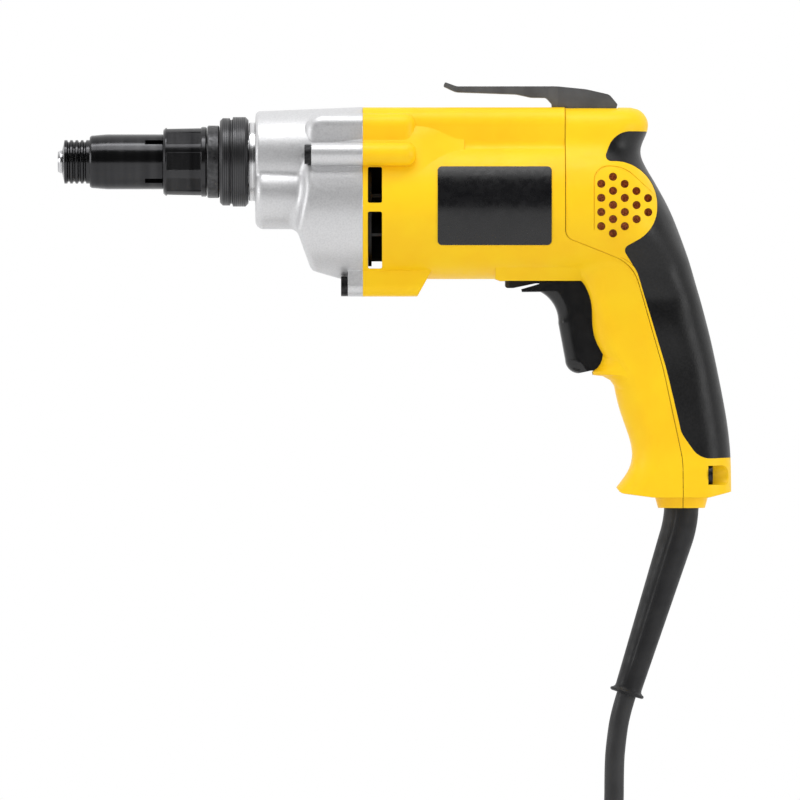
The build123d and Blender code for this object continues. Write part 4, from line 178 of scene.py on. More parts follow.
to_the_eye = room.nodes.new("ShaderNodeMixShader")
room.links.new(seen_directly(room, room_rays), to_the_eye.inputs[0])
room.links.new(in_gloss.outputs[0], to_the_eye.inputs[1])
room.links.new(backdrop.outputs[0], to_the_eye.inputs[2])
room.links.new(to_the_eye.outputs[0], room.nodes["World Output"].inputs[0])


def soft_lamp(name, place, length, width, watts):
    lamp_data = bpy.data.lights.new(name, "AREA")
    lamp_data.shape = "RECTANGLE"
    lamp_data.size = length
    lamp_data.size_y = width
    lamp_data.energy = watts
    lamp = bpy.data.objects.new(name, lamp_data)
    lamp.location = place
    lamp.rotation_euler = (TOOL_MIDDLE - Vector(place)).to_track_quat("-Z", "Y").to_euler()
    bpy.context.scene.collection.objects.link(lamp)


soft_lamp("lamp_over_viewer", place=(-0.3, -0.75, 1.7), length=0.9, width=0.9, watts=8.0)
soft_lamp("lamp_overhead", place=(-0.12, -0.20, 1.0), length=1.3, width=0.16, watts=3.2)
soft_lamp("lamp_at_nose", place=(-1.6, -0.5, 0.4), length=0.7, width=0.7, watts=5.0)
soft_lamp("lamp_at_grip", place=(1.3, -0.8, 0.3), length=0.7, width=0.7, watts=5.0)

# Power cord. Round two-core rubber lead that is clamped in the handle, leaves the protector, hangs
# a little and lies in a tied coil of four layers under the tool, with its plug beside the coil.
CORD_R = 0.0047
CORD_BEVEL_STEPS = 5
CORD_SPAN_STEPS = 6         # between two points of the route
EXIT = Vector((-0.0134, 0, -0.1427))
EXIT_RUN = 0.010            # straight out of the protector
BOOT_BEND = Vector((0.0124, 0, -0.0613))
EXIT_WAY = (EXIT - BOOT_BEND).normalized()
DROP_CORNER = Vector((-0.0182, 0, -0.1645))
DROP_X = -0.0192
DROP_TOP = -0.1755
DROP_BEND_TOP = -0.190
DROP_BEND_R = 0.053
DROP_BEND_STEPS = 3
DROP_LEAD = 0.016
COIL_OUTER = 0.064
COIL_INNER = 0.0484
COIL_PITCH = 0.010
COIL_LAYERS = 4
LAYER_TURNS = 1.56
LAYER_POINTS = 28
STEP_POINTS = 8             # points on which the cord steps down to the next layer
TAIL_RUN = 0.018
TAIL_RUNS = 3
PLUG_RISE = 0.0023
CORD_DARK = (0.014, 0.014, 0.015, 1)
CORD_LIGHT = (0.025, 0.025, 0.026, 1)

coil_top = DROP_BEND_TOP - DROP_BEND_R
coil_reach = DROP_BEND_R + DROP_LEAD + 2 * CORD_R
heading_angle = math.pi - math.atan(COIL_OUTER / coil_reach)
heading = Vector((math.cos(heading_angle), math.sin(heading_angle), 0))
coil_start = Vector((DROP_X, 0, coil_top)) + heading * coil_reach
coil_centre = coil_start + Vector((-heading.y, heading.x, 0)) * COIL_OUTER

route = [EXIT, EXIT + EXIT_WAY * EXIT_RUN, DROP_CORNER, Vector((DROP_X, 0, DROP_TOP))]
bend_step = math.pi / 2 / DROP_BEND_STEPS
bend_r = DROP_BEND_R / math.cos(bend_step / 2)
for i in range(DROP_BEND_STEPS):
    angle = (i + 0.5) * bend_step
    out = DROP_BEND_R - bend_r * math.cos(angle)
    route.append(Vector((DROP_X, 0, DROP_BEND_TOP - bend_r * math.sin(angle))) + heading * out)
route.append(coil_start - heading * 2 * CORD_R)


def eased(share):
    # from 0 to 1 with a level start and a level end
    share = min(1, max(0, share))
    return share * share * (3 - 2 * share)


coil_points = COIL_LAYERS * LAYER_POINTS
turn_step = 2 * math.pi * LAYER_TURNS / LAYER_POINTS
outside_curve = 1 / math.cos(turn_step / 2)
for i in range(coil_points + 1):
    share = abs((i / LAYER_POINTS) % 2 - 1)
    radius = (COIL_INNER + (COIL_OUTER - COIL_INNER) * share) * outside_curve
    height = coil_top
    for layer in range(1, COIL_LAYERS):
        height -= COIL_PITCH * eased((i - layer * LAYER_POINTS) / STEP_POINTS + 0.5)
    angle = heading_angle - math.pi / 2 + i * turn_step
    route.append(Vector((coil_centre.x, coil_centre.y, height))
                 + Vector((math.cos(angle), math.sin(angle), 0)) * radius)
end_angle = heading_angle - math.pi / 2 + coil_points * turn_step
tail_way = Vector((-math.sin(end_angle), math.cos(end_angle), 0))
tail_start = route[-1] + tail_way * 2 * CORD_R
plug_end = tail_start + tail_way * TAIL_RUNS * TAIL_RUN + Vector((0, 0, PLUG_RISE))
route += [tail_start, tail_start + tail_way * TAIL_RUN, plug_end - tail_way * TAIL_RUN, plug_end]

cord_curve = bpy.data.curves.new("power_cord", "CURVE")
cord_curve.dimensions = "3D"
cord_curve.bevel_depth = CORD_R
cord_curve.bevel_resolution = CORD_BEVEL_STEPS
cord_curve.resolution_u = CORD_SPAN_STEPS
cord_curve.use_fill_caps = True
spline = cord_curve.splines.new("NURBS")
spline.points.add(len(route) - 1)
for point, spot in zip(spline.points, route):
    point.co = (*spot, 1)
spline.order_u = 3
spline.use_endpoint_u = True


def new_piece(name, data):
    # a piece in the scene, alone in hand for the operators that shape it
    piece = bpy.data.objects.new(name, data)
    bpy.context.scene.collection.objects.link(piece)
    bpy.ops.object.select_all(action="DESELECT")
    bpy.context.view_layer.objects.active = piece
    piece.select_set(True)
    return piece


power_cord = new_piece("power_cord", cord_curve)


def new_finish(name, colour, roughness, metallic=0.0):
    finish = bpy.data.materials.new(name)
    finish.use_nodes = True
    shader = finish.node_tree.nodes["Principled BSDF"]
    shader.inputs["Base Color"].default_value = colour
    shader.inputs["Roughness"].default_value = roughness
    shader.inputs["Metallic"].default_value = metallic
    return finish


def spots(finish, width, detail=2.0, stretch=(1, 1, 1)):
    # cloudy spots of the given width in metres, drawn out along an axis whose stretch is under 1
    tree = finish.node_tree
    place = tree.nodes.new("ShaderNodeTexCoord")
    mapping = tree.nodes.new("ShaderNodeMapping")
    mapping.inputs["Scale"].default_value = stretch
    cloud = tree.nodes.new("ShaderNodeTexNoise")
    cloud.inputs["Scale"].default_value = 1 / width
    cloud.inputs["Detail"].default_value = detail
    tree.links.new(place.outputs["Object"], mapping.inputs["Vector"])
    tree.links.new(mapping.outputs["Vector"], cloud.inputs["Vector"])
    return cloud.outputs["Fac"]


def tint(finish, pattern, dark, light, low=0.35, high=0.65):
    # dark where the pattern is below low, light where it is above high
    tree = finish.node_tree
    ramp = tree.nodes.new("ShaderNodeValToRGB")
    ramp.color_ramp.elements[0].position = low
    ramp.color_ramp.elements[0].color = dark
    ramp.color_ramp.elements[1].position = high
    ramp.color_ramp.elements[1].color = light
    tree.links.new(pattern, ramp.inputs["Fac"])
    tree.links.new(ramp.outputs["Color"], tree.nodes["Principled BSDF"].inputs["Base Color"])


def sheen_range(finish, pattern, glossy, matt, low=0.3, high=0.7):
    # roughness from glossy to matt as the pattern goes from low to high
    tree = finish.node_tree
    spread = tree.nodes.new("ShaderNodeMapRange")
    spread.inputs["From Min"].default_value = low
    spread.inputs["From Max"].default_value = high
    spread.inputs["To Min"].default_value = glossy
    spread.inputs["To Max"].default_value = matt
    tree.links.new(pattern, spread.inputs["Value"])
    tree.links.new(spread.outputs["Result"], tree.nodes["Principled BSDF"].inputs["Roughness"])


EDGE_SAMPLES = 6


def relief(finish, pattern, height, edge_round=0.0):
    # height in metres; edge_round softens the sharp edges of a moulding or casting
    tree = finish.node_tree
    bump = tree.nodes.new("ShaderNodeBump")
    bump.inputs["Distance"].default_value = height
    tree.links.new(pattern, bump.inputs["Height"])
    if edge_round:
        bevel = tree.nodes.new("ShaderNodeBevel")
        bevel.samples = EDGE_SAMPLES
        bevel.inputs["Radius"].default_value = edge_round
        tree.links.new(bevel.outputs["Normal"], bump.inputs["Normal"])
    tree.links.new(bump.outputs["Normal"], tree.nodes["Principled BSDF"].inputs["Normal"])


def dress(finish, *names):
    for name in names:
        nodes[name].data.materials.clear()
        nodes[name].data.materials.append(finish)


cord_rubber = new_finish("cord_rubber", CORD_LIGHT, roughness=0.5)
tint(cord_rubber, spots(cord_rubber, width=0.012, detail=4.0), CORD_DARK, CORD_LIGHT)
sheen_range(cord_rubber, spots(cord_rubber, width=0.006), glossy=0.42, matt=0.58)
relief(cord_rubber, spots(cord_rubber, width=0.0011), height=0.00004)
power_cord.data.materials.append(cord_rubber)
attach(power_cord, "housing")
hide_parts("cord_drop", "cord_coil", "cord_tail")
dress(cord_rubber, "cord_inside")

# Cord protector. Tapered rubber sleeve with a collar inside the handle's base, a thin curled lip
# at its far end and a fine mould line along its side; it bends forward a little under the base.
BOOT_TOP = -0.046
BOOT_R = 0.0081
BOOT_END_R = 0.0062
BOOT_BORE_R = CORD_R + 0.00005
BOOT_COLLAR_R = 0.0098
BOOT_COLLAR = 0.0025
BOOT_COLLAR_EDGE = 0.0004
BOOT_COLLAR_GAP = 0.0001    # between the collar and the wall that it sits on
BOOT_ARC_R = 0.055
BOOT_ARC_STEPS = 12
BOOT_CONE_STEPS = 8
BOOT_SIDES = 72
LIP_LENGTH = 0.0036
LIP_CURL = (                # outside of the lip: distance from its foot, and radius
    (0.0011, 0.0065), (0.0018, 0.0072), (0.0022, 0.0080), (0.0026, 0.0082), (0.0032, 0.0081),
    (0.0036, 0.0074), (0.0035, 0.00535))
LIP_BORE = 0.0030           # where the bore begins, from the lip's foot
MOULD_LINE = 0.00032        # height of the mould line
MOULD_LINE_TURN = math.radians(254)
SAME_POINT = 0.000005       # points nearer than this are one
SMOOTH_BELOW = math.radians(40)
BOOT_DARK = (0.006, 0.006, 0.007, 1)
BOOT_LIGHT = (0.012, 0.012, 0.013, 1)

boot_turn = math.atan2(BOOT_BEND.x - EXIT.x, BOOT_BEND.z - EXIT.z)
arc_cut = BOOT_ARC_R * math.tan(boot_turn / 2)
arc_start = BOOT_TOP - (BOOT_BEND.z + arc_cut)
arc_length = BOOT_ARC_R * boot_turn
cone_start = arc_start + arc_length
cone_length = (EXIT - BOOT_BEND).length - arc_cut
lip_foot = cone_start + cone_length - LIP_LENGTH
arc_runs = [arc_start + arc_length * i / BOOT_ARC_STEPS for i in range(BOOT_ARC_STEPS + 1)]
cone_runs = [cone_start + cone_length * i / BOOT_CONE_STEPS for i in range(1, BOOT_CONE_STEPS)]
runs = arc_runs + cone_runs


def boot_radius(run):
    return BOOT_R + (BOOT_END_R - BOOT_R) * max(0, run - cone_start) / cone_length


outside = [(-BOOT_COLLAR, BOOT_BORE_R), (-BOOT_COLLAR, BOOT_COLLAR_R - BOOT_COLLAR_EDGE)]
outside += [(-BOOT_COLLAR + BOOT_COLLAR_EDGE, BOOT_COLLAR_R)]
outside += [(-BOOT_COLLAR_GAP, BOOT_COLLAR_R), (-BOOT_COLLAR_GAP, BOOT_R)]
outside += [(run, boot_radius(run)) for run in runs if run < lip_foot]
outside += [(lip_foot, boot_radius(lip_foot))]
outside += [(lip_foot + past_foot, radius) for past_foot, radius in LIP_CURL]
inside = [(lip_foot + LIP_BORE, BOOT_BORE_R)] + [(run, BOOT_BORE_R) for run in reversed(runs)]

boot_mesh = bpy.data.meshes.new("cord_boot")
rim_points = [(BOOT_BEND.x + radius, 0, BOOT_TOP - run) for run, radius in outside + inside]
rim_edges = [(i, (i + 1) % len(rim_points)) for i in range(len(rim_points))]
boot_mesh.from_pydata(rim_points, rim_edges, [])
cord_boot = new_piece("cord_boot", boot_mesh)
bpy.ops.object.mode_set(mode="EDIT")
bpy.ops.mesh.select_all(action="SELECT")
bpy.ops.mesh.spin(
    steps=BOOT_SIDES, angle=2 * math.pi, center=(BOOT_BEND.x, 0, 0), axis=(0, 0, 1))
bpy.ops.mesh.select_all(action="SELECT")
bpy.ops.mesh.remove_doubles(threshold=SAME_POINT)
bpy.ops.mesh.normals_make_consistent(inside=False)
bpy.ops.object.mode_set(mode="OBJECT")

line_way = Vector((math.cos(MOULD_LINE_TURN), math.sin(MOULD_LINE_TURN), 0))
for vertex in boot_mesh.vertices:
    arm = Vector((vertex.co.x - BOOT_BEND.x, vertex.co.y, 0))
    on_line = arm.angle(line_way) < math.pi / BOOT_SIDES
    on_outside = arm.length > (BOOT_BORE_R + BOOT_END_R) / 2
    if on_line and on_outside and vertex.co.z > BOOT_TOP - lip_foot:
        vertex.co += arm.normalized() * MOULD_LINE

# the sleeve is bent ring by ring, each time with all that hangs below the ring
boot_runs = [BOOT_TOP - vertex.co.z for vertex in boot_mesh.vertices]
ring_centre = Vector((BOOT_BEND.x, 0, BOOT_TOP - arc_start))
turned = 0.0
for i, run in enumerate(arc_runs):
    share = 0.5 if i in (0, BOOT_ARC_STEPS) else 1.0
    turn = boot_turn / BOOT_ARC_STEPS * share
    for vertex, vertex_run in zip(boot_mesh.vertices, boot_runs):
        if vertex_run > run + 2 * SAME_POINT:
            arm = vertex.co - ring_centre
            vertex.co = ring_centre + Vector((
                arm.x * math.cos(turn) + arm.z * math.sin(turn), arm.y,
                arm.z * math.cos(turn) - arm.x * math.sin(turn)))
    turned += turn
    if i < BOOT_ARC_STEPS:
        ring_centre += Vector((-math.sin(turned), 0, -math.cos(turned))) * arc_length / BOOT_ARC_STEPS

bpy.ops.object.shade_smooth_by_angle(angle=SMOOTH_BELOW)


def dull(finish, level):
    # a level under 0.5 mirrors less than plain plastic does
    finish.node_tree.nodes["Principled BSDF"].inputs["Specular IOR Level"].default_value = level


boot_rubber = new_finish("boot_rubber", BOOT_LIGHT, roughness=0.5)
dull(boot_rubber, level=0.36)
tint(boot_rubber, spots(boot_rubber, width=0.010, detail=4.0), BOOT_DARK, BOOT_LIGHT)
sheen_range(boot_rubber, spots(boot_rubber, width=0.004), glossy=0.40, matt=0.55)
relief(boot_rubber, spots(boot_rubber, width=0.0009), height=0.00004)
cord_boot.data.materials.append(boot_rubber)
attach(cord_boot, "housing")
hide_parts("cord_protector")

# Coil tie. Woven strap with rounded edges, drawn round the bundle of turns and closed on itself
# with its end lapping over the outer side.
TIE_TURN = 0.68             # place round the coil, in turns from its start
TIE_WIDTH = 0.012
TIE_THICK = 0.0011
TIE_PLAY = 0.0012           # beside the turns
TIE_REST = 0.6 * TIE_THICK  # above the top turn and under the lowest
TIE_CORNER_R = 0.0055
TIE_CORNER_STEPS = 6
TIE_EDGE_R = 0.35 * TIE_THICK
TIE_EDGE_STEPS = 3
TIE_EDGE_ANGLE = math.radians(60)
TIE_LAP = 0.017
TIE_LAP_STEPS = 10
TIE_LAP_LIFT = 1.05 * TIE_THICK
TIE_LAP_CLIMB = 0.45        # share of the lap on which it climbs over the strap's other end
TIE_INNER_END = 0.55        # that end, as a share of the lap
WEAVE = 0.0007
TIE_DARK = (0.012, 0.012, 0.013, 1)
TIE_LIGHT = (0.030, 0.030, 0.032, 1)

tie_angle = heading_angle - math.pi / 2 + 2 * math.pi * TIE_TURN
tie_out = Vector((math.cos(tie_angle), math.sin(tie_angle), 0))
tie_along = Vector((-tie_out.y, tie_out.x, 0))
tie_high = coil_top + CORD_R
tie_low = coil_top - (COIL_LAYERS - 1) * COIL_PITCH - CORD_R
tie_centre = Vector((coil_centre.x, coil_centre.y, (tie_high + tie_low) / 2))
tie_centre += tie_out * (COIL_OUTER + COIL_INNER) / 2
half_wide = (COIL_OUTER - COIL_INNER) / 2 + CORD_R + TIE_PLAY
half_tall = (tie_high - tie_low) / 2 + TIE_REST

# the strap's line starts under the lap, goes over the top and round, and ends on the lap
lap_foot = tie_centre + tie_out * half_wide - Vector((0, 0, half_tall - TIE_CORNER_R))
strap_line = [lap_foot + Vector((0, 0, TIE_LAP * TIE_INNER_END))]
for across, up, turn in ((1, 1, 0), (-1, 1, 90), (-1, -1, 180), (1, -1, 270)):
    for step in range(TIE_CORNER_STEPS + 1):
        angle = math.radians(turn + 90 * step / TIE_CORNER_STEPS)
        out = across * (half_wide - TIE_CORNER_R) + math.cos(angle) * TIE_CORNER_R
        rise = up * (half_tall - TIE_CORNER_R) + math.sin(angle) * TIE_CORNER_R
        strap_line.append(tie_centre + tie_out * out + Vector((0, 0, rise)))
for step in range(1, TIE_LAP_STEPS + 1):
    share = step / TIE_LAP_STEPS
    lift = TIE_LAP_LIFT * eased(share / TIE_LAP_CLIMB)
    strap_line.append(lap_foot + tie_out * lift + Vector((0, 0, TIE_LAP * share)))

tie_mesh = bpy.data.meshes.new("coil_strap")
tie_mesh.from_pydata(
    [spot - tie_along * TIE_WIDTH / 2 for spot in strap_line],
    [(i, i + 1) for i in range(len(strap_line) - 1)], [])
coil_strap = new_piece("coil_strap", tie_mesh)
bpy.ops.object.mode_set(mode="EDIT")
bpy.ops.mesh.select_all(action="SELECT")
bpy.ops.mesh.extrude_edges_move(TRANSFORM_OT_translate={"value": tie_along * TIE_WIDTH})
bpy.ops.mesh.select_all(action="SELECT")
bpy.ops.mesh.normals_make_consistent(inside=False)
bpy.ops.object.mode_set(mode="OBJECT")
thick = coil_strap.modifiers.new("thick", "SOLIDIFY")
thick.thickness = TIE_THICK
thick.offset = 0.0
bpy.ops.object.modifier_apply(modifier="thick")
soft_edge = coil_strap.modifiers.new("soft_edge", "BEVEL")
soft_edge.width = TIE_EDGE_R
soft_edge.segments = TIE_EDGE_STEPS
soft_edge.limit_method = "ANGLE"
soft_edge.angle_limit = TIE_EDGE_ANGLE
bpy.ops.object.modifier_apply(modifier="soft_edge")
bpy.ops.object.shade_smooth_by_angle(angle=SMOOTH_BELOW)

RIB_AT_ONE = math.pi / 10   # width of a rib when the wave's scale is 1


def ribs(finish, width, axis="X", rings=False, wander=0.0):
    # straight ribs across an axis, or rings about it, each of the given width in metres
    tree = finish.node_tree
    place = tree.nodes.new("ShaderNodeTexCoord")
    wave = tree.nodes.new("ShaderNodeTexWave")
    wave.wave_type = "RINGS" if rings else "BANDS"
    if rings:
        wave.rings_direction = axis
    else:
        wave.bands_direction = axis
    wave.inputs["Scale"].default_value = RIB_AT_ONE / width
    wave.inputs["Distortion"].default_value = wander
    tree.links.new(place.outputs["Object"], wave.inputs["Vector"])
    return wave.outputs["Fac"]


strap_weave = new_finish("strap_weave", TIE_LIGHT, roughness=0.85)
weave = ribs(strap_weave, WEAVE, axis="DIAGONAL", wander=1.5)
tint(strap_weave, weave, TIE_DARK, TIE_LIGHT, low=0.2, high=0.8)
relief(strap_weave, weave, height=0.00012)
coil_strap.data.materials.append(strap_weave)
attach(coil_strap, "housing")
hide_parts("coil_tie")

# Plug. Black rubber body moulded on the end of the cord, dull from its mould, with two flat
# blades stamped from brass strip.
PLUG_DARK = (0.012, 0.012, 0.013, 1)
PLUG_LIGHT = (0.022, 0.022, 0.023, 1)
BRASS_DARK = (0.46, 0.31, 0.11, 1)
BRASS_LIGHT = (0.72, 0.53, 0.23, 1)

plug_rubber = new_finish("plug_rubber", PLUG_LIGHT, roughness=0.55)
tint(plug_rubber, spots(plug_rubber, width=0.008, detail=4.0), PLUG_DARK, PLUG_LIGHT)
sheen_range(plug_rubber, spots(plug_rubber, width=0.003), glossy=0.45, matt=0.62)
relief(plug_rubber, spots(plug_rubber, width=0.0007), height=0.00004, edge_round=0.0005)
dress(plug_rubber, "plug_body")
blade_brass = new_finish("blade_brass", BRASS_LIGHT, roughness=0.3, metallic=1.0)
rolling_marks = spots(blade_brass, width=0.0004, stretch=(0.1, 0.1, 1))
tint(blade_brass, spots(blade_brass, width=0.004, detail=5.0), BRASS_DARK, BRASS_LIGHT)
sheen_range(blade_brass, rolling_marks, glossy=0.22, matt=0.42)
relief(blade_brass, rolling_marks, height=0.00001, edge_round=0.0002)
dress(blade_brass, "plug_blades")

# Motor housing and rear cover. Two shells moulded in strong yellow plastic with a satin face and
# rounded edges, screwed together along the handle; the barrel and hood are one with the front shell.
YELLOW_DEEP = (0.96, 0.558, 0.006, 1)
YELLOW = (0.98, 0.615, 0.008, 1)

yellow_plastic = new_finish("yellow_plastic", YELLOW, roughness=0.42)
yellow_cloud = spots(yellow_plastic, width=0.022, detail=3.0)
dull(yellow_plastic, level=0.22)
tint(yellow_plastic, yellow_cloud, YELLOW_DEEP, YELLOW, low=0.30, high=0.62)
sheen_range(yellow_plastic, spots(yellow_plastic, width=0.0025, detail=3.0), glossy=0.34, matt=0.50)
relief(yellow_plastic, spots(yellow_plastic, width=0.0006), height=0.000018, edge_round=0.0005)
dress(yellow_plastic, "motor_housing", "rear_cover")

# Hole shade. Brown discs lie a little inside the air holes on both sides of the rear cover.
# Their brown is painted shade that stands in for the dim inner walls of the holes.
HOLE_R = 0.0019
HOLES_X = -0.0202
HOLES_Z = 0.0863
HOLE_COLUMN = 0.0055
HOLE_ROW = 0.0066
HOLE_COLUMNS = (4, 5, 4, 3, 2)
FEELERS = 8                 # round each hole, to find the cover's face
FEELER_R = 1.3 * HOLE_R
FEELER_START = 0.1          # well outside the cover
SCREEN_DEPTH = 0.0016
SCREEN_R = HOLE_R - 0.00005
SCREEN_SIDES = 24
SCREEN_CROWN = 0.25 * SCREEN_R
SCREEN_THICK = 0.0004
HOLE_SHADE_MOTTLE = 0.0007
# painted shade: the brown the air holes show from the shade inside them, with a random mottle
HOLE_SHADE_DARK = (0.12, 0.030, 0.010, 1)
HOLE_SHADE_LIGHT = (0.42, 0.130, 0.045, 1)

bpy.ops.object.select_all(action="DESELECT")
bpy.ops.mesh.primitive_circle_add(
    vertices=SCREEN_SIDES, radius=SCREEN_R, fill_type="TRIFAN", rotation=(math.pi / 2, 0, 0))
disc = bpy.context.object
bpy.ops.object.transform_apply(location=False, rotation=True, scale=False)
crown = min(disc.data.vertices, key=lambda vertex: vertex.co.length)
crown.co.y = SCREEN_CROWN
thick = disc.modifiers.new("thick", "SOLIDIFY")
thick.thickness = SCREEN_THICK
bpy.ops.object.modifier_apply(modifier="thick")
bpy.ops.object.shade_smooth_by_angle(angle=SMOOTH_BELOW)


def cover_side(x, z, side):
    # the cover's outer face beside a hole
    depths = []
    for feeler in range(FEELERS):
        angle = 2 * math.pi * feeler / FEELERS
        around = Vector((math.cos(angle), 0, math.sin(angle))) * FEELER_R
        start = Vector((x, side * FEELER_START, z)) + around
        hit, spot = nodes["rear_cover"].ray_cast(start, Vector((0, -side, 0)))[:2]
        if hit:
            depths.append(abs(spot.y))
    return min(depths)


screens = []
for column, count in enumerate(HOLE_COLUMNS):
    hole_x = HOLES_X + (column - 1) * HOLE_COLUMN
    for row in range(count):
        hole_z = HOLES_Z + (row - (count - 1) / 2) * HOLE_ROW
        for side in (-1, 1):
            screen = disc.copy()
            screen.data = disc.data.copy()
            screen.location = (hole_x, side * (cover_side(hole_x, hole_z, side) - SCREEN_DEPTH), hole_z)
            if side > 0:
                screen.rotation_euler = (0, 0, math.pi)
            bpy.context.scene.collection.objects.link(screen)
            screens.append(screen)
bpy.data.objects.remove(disc)
bpy.ops.object.select_all(action="DESELECT")
for screen in screens:
    screen.select_set(True)
bpy.context.view_layer.objects.active = screens[0]
bpy.ops.object.join()
hole_shade_discs = bpy.context.object
hole_shade_discs.name = "hole_shade_discs"
bpy.ops.object.transform_apply(location=True, rotation=True, scale=True)
# the discs' brown finish is painted shade for the dim inside of the air holes
hole_shade_brown = new_finish("hole_shade_brown", HOLE_SHADE_LIGHT, roughness=0.7)
hole_shade_mottle = spots(hole_shade_brown, HOLE_SHADE_MOTTLE)
tint(hole_shade_brown, hole_shade_mottle, HOLE_SHADE_DARK, HOLE_SHADE_LIGHT)
relief(hole_shade_brown, hole_shade_mottle, height=0.0001)
hole_shade_discs.data.materials.append(hole_shade_brown)
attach(hole_shade_discs, "housing")

# Soft grip. Thin skin of black rubber moulded into a step of the rear cover, with the fine grain
# of a blasted mould.
GRIP_DARK = (0.0040, 0.0040, 0.0044, 1)
GRIP_LIGHT = (0.0080, 0.0080, 0.0085, 1)

grip_rubber = new_finish("grip_rubber", GRIP_LIGHT, roughness=0.6)
dull(grip_rubber, level=0.36)
tint(grip_rubber, spots(grip_rubber, width=0.0012, detail=3.0), GRIP_DARK, GRIP_LIGHT)
sheen_range(grip_rubber, spots(grip_rubber, width=0.007, detail=3.0), glossy=0.33, matt=0.42)
relief(grip_rubber, spots(grip_rubber, width=0.0007), height=0.00006, edge_round=0.0006)
dress(grip_rubber, "rubber_grip")

# Nameplates. One bare label of black plastic film on each side of the barrel, smooth and glossy
# and stuck on flush.
PLATE_DARK = (0.004, 0.004, 0.005, 1)
PLATE_LIGHT = (0.008, 0.008, 0.009, 1)

plate_film = new_finish("plate_film", PLATE_LIGHT, roughness=0.25)
tint(plate_film, spots(plate_film, width=0.014, detail=3.0), PLATE_DARK, PLATE_LIGHT)
sheen_range(plate_film, spots(plate_film, width=0.003, detail=4.0), glossy=0.20, matt=0.34)
relief(plate_film, spots(plate_film, width=0.0010), height=0.000008, edge_round=0.0003)
dress(plate_film, "nameplates")

# Belt clip and screws. The clip is a bent strip of dark grey spring steel with a dull oiled face,
# held on the top of the rear cover by one screw. All the tool's screws are blacked steel.
CLIP_DARK = (0.130, 0.131, 0.135, 1)
CLIP_LIGHT = (0.170, 0.172, 0.177, 1)
SCREW_DARK = (0.008, 0.008, 0.009, 1)
SCREW_LIGHT = (0.030, 0.030, 0.032, 1)

clip_steel = new_finish("clip_steel", CLIP_LIGHT, roughness=0.45, metallic=0.7)
strip_marks = spots(clip_steel, width=0.0030, detail=3.0, stretch=(0.15, 1, 1))
tint(clip_steel, spots(clip_steel, width=0.010, detail=3.0), CLIP_DARK, CLIP_LIGHT)
sheen_range(clip_steel, strip_marks, glossy=0.40, matt=0.50)
relief(clip_steel, spots(clip_steel, width=0.0004), height=0.00001, edge_round=0.0004)
dress(clip_steel, "belt_clip")
screw_black = new_finish("screw_black", SCREW_LIGHT, roughness=0.4, metallic=0.6)
tint(screw_black, spots(screw_black, width=0.0014, detail=5.0), SCREW_DARK, SCREW_LIGHT)
sheen_range(screw_black, spots(screw_black, width=0.0009), glossy=0.30, matt=0.50)
relief(screw_black, spots(screw_black, width=0.0003), height=0.000012, edge_round=0.00025)
dress(screw_black, "belt_clip_screw", "gear_case_screws", "rear_cover_screws", "cord_clamp_screws")

# Gear case and bearing plate. Castings in light alloy, tumbled to an even silver grain, with
# rounded edges; four screws from the front hold the case to the motor housing.
CASE_DARK = (0.60, 0.60, 0.61, 1)
CASE_LIGHT = (0.68, 0.68, 0.69, 1)
CASE_GRAIN = 0.0008

cast_alloy = new_finish("cast_alloy", CASE_LIGHT, roughness=0.4, metallic=0.6)
case_cloud = spots(cast_alloy, CASE_GRAIN, detail=4.0)
tint(cast_alloy, case_cloud, CASE_DARK, CASE_LIGHT, low=0.30, high=0.60)
sheen_range(cast_alloy, spots(cast_alloy, width=0.0016, detail=3.0), glossy=0.36, matt=0.48)
relief(cast_alloy, spots(cast_alloy, CASE_GRAIN), height=0.00002, edge_round=0.0007)
dress(cast_alloy, "gear_case", "bearing_plate")

# Depth nose. Turned and blacked steel sleeves: the tube with its locator at the front, the
# adjusting collar with finger pockets, the detent ring and the finely lined locking collar. The
# spigot that carries them and the rings at both ends are left bright.
NOSE_DARK = (0.036, 0.036, 0.038, 1)
NOSE_LIGHT = (0.056, 0.056, 0.058, 1)
RING_DARK = (0.055, 0.055, 0.057, 1)
RING_LIGHT = (0.090, 0.090, 0.093, 1)
COLLAR_LINE = 0.0009
BRIGHT_DARK = (0.42, 0.42, 0.43, 1)
BRIGHT_LIGHT = (0.80, 0.80, 0.81, 1)


def lathe_marks(finish, width, detail=3.0):
    # fine rings about X that a lathe leaves
    return spots(finish, width, detail, stretch=(1, 0.05, 0.05))


nose_black = new_finish("nose_black", NOSE_LIGHT, roughness=0.20, metallic=0.95)
tint(nose_black, lathe_marks(nose_black, width=0.006), NOSE_DARK, NOSE_LIGHT)
sheen_range(nose_black, lathe_marks(nose_black, width=0.0030), glossy=0.16, matt=0.24)
relief(nose_black, lathe_marks(nose_black, width=0.0008, detail=1.0), height=0.000004, edge_round=0.0003)
dress(nose_black, "nose_tube", "adjusting_collar", "depth_locator")
ring_black = new_finish("ring_black", RING_LIGHT, roughness=0.35, metallic=0.85)
ring_cloud = spots(ring_black, width=0.0018, detail=5.0)
tint(ring_black, ring_cloud, RING_DARK, RING_LIGHT, low=0.40, high=0.66)
sheen_range(ring_black, spots(ring_black, width=0.0015), glossy=0.26, matt=0.50)
relief(ring_black, spots(ring_black, width=0.0008), height=0.00002, edge_round=0.0003)
dress(ring_black, "detent_ring")
collar_black = new_finish("collar_black", NOSE_LIGHT, roughness=0.4, metallic=0.85)
collar_lines = ribs(collar_black, COLLAR_LINE)
tint(collar_black, collar_lines, NOSE_DARK, RING_LIGHT, low=0.2, high=0.9)
sheen_range(collar_black, lathe_marks(collar_black, width=0.0012), glossy=0.32, matt=0.44)
relief(collar_black, collar_lines, height=0.00003, edge_round=0.0003)
dress(collar_black, "locking_collar")
bright_steel = new_finish("bright_steel", BRIGHT_LIGHT, roughness=0.25, metallic=1.0)
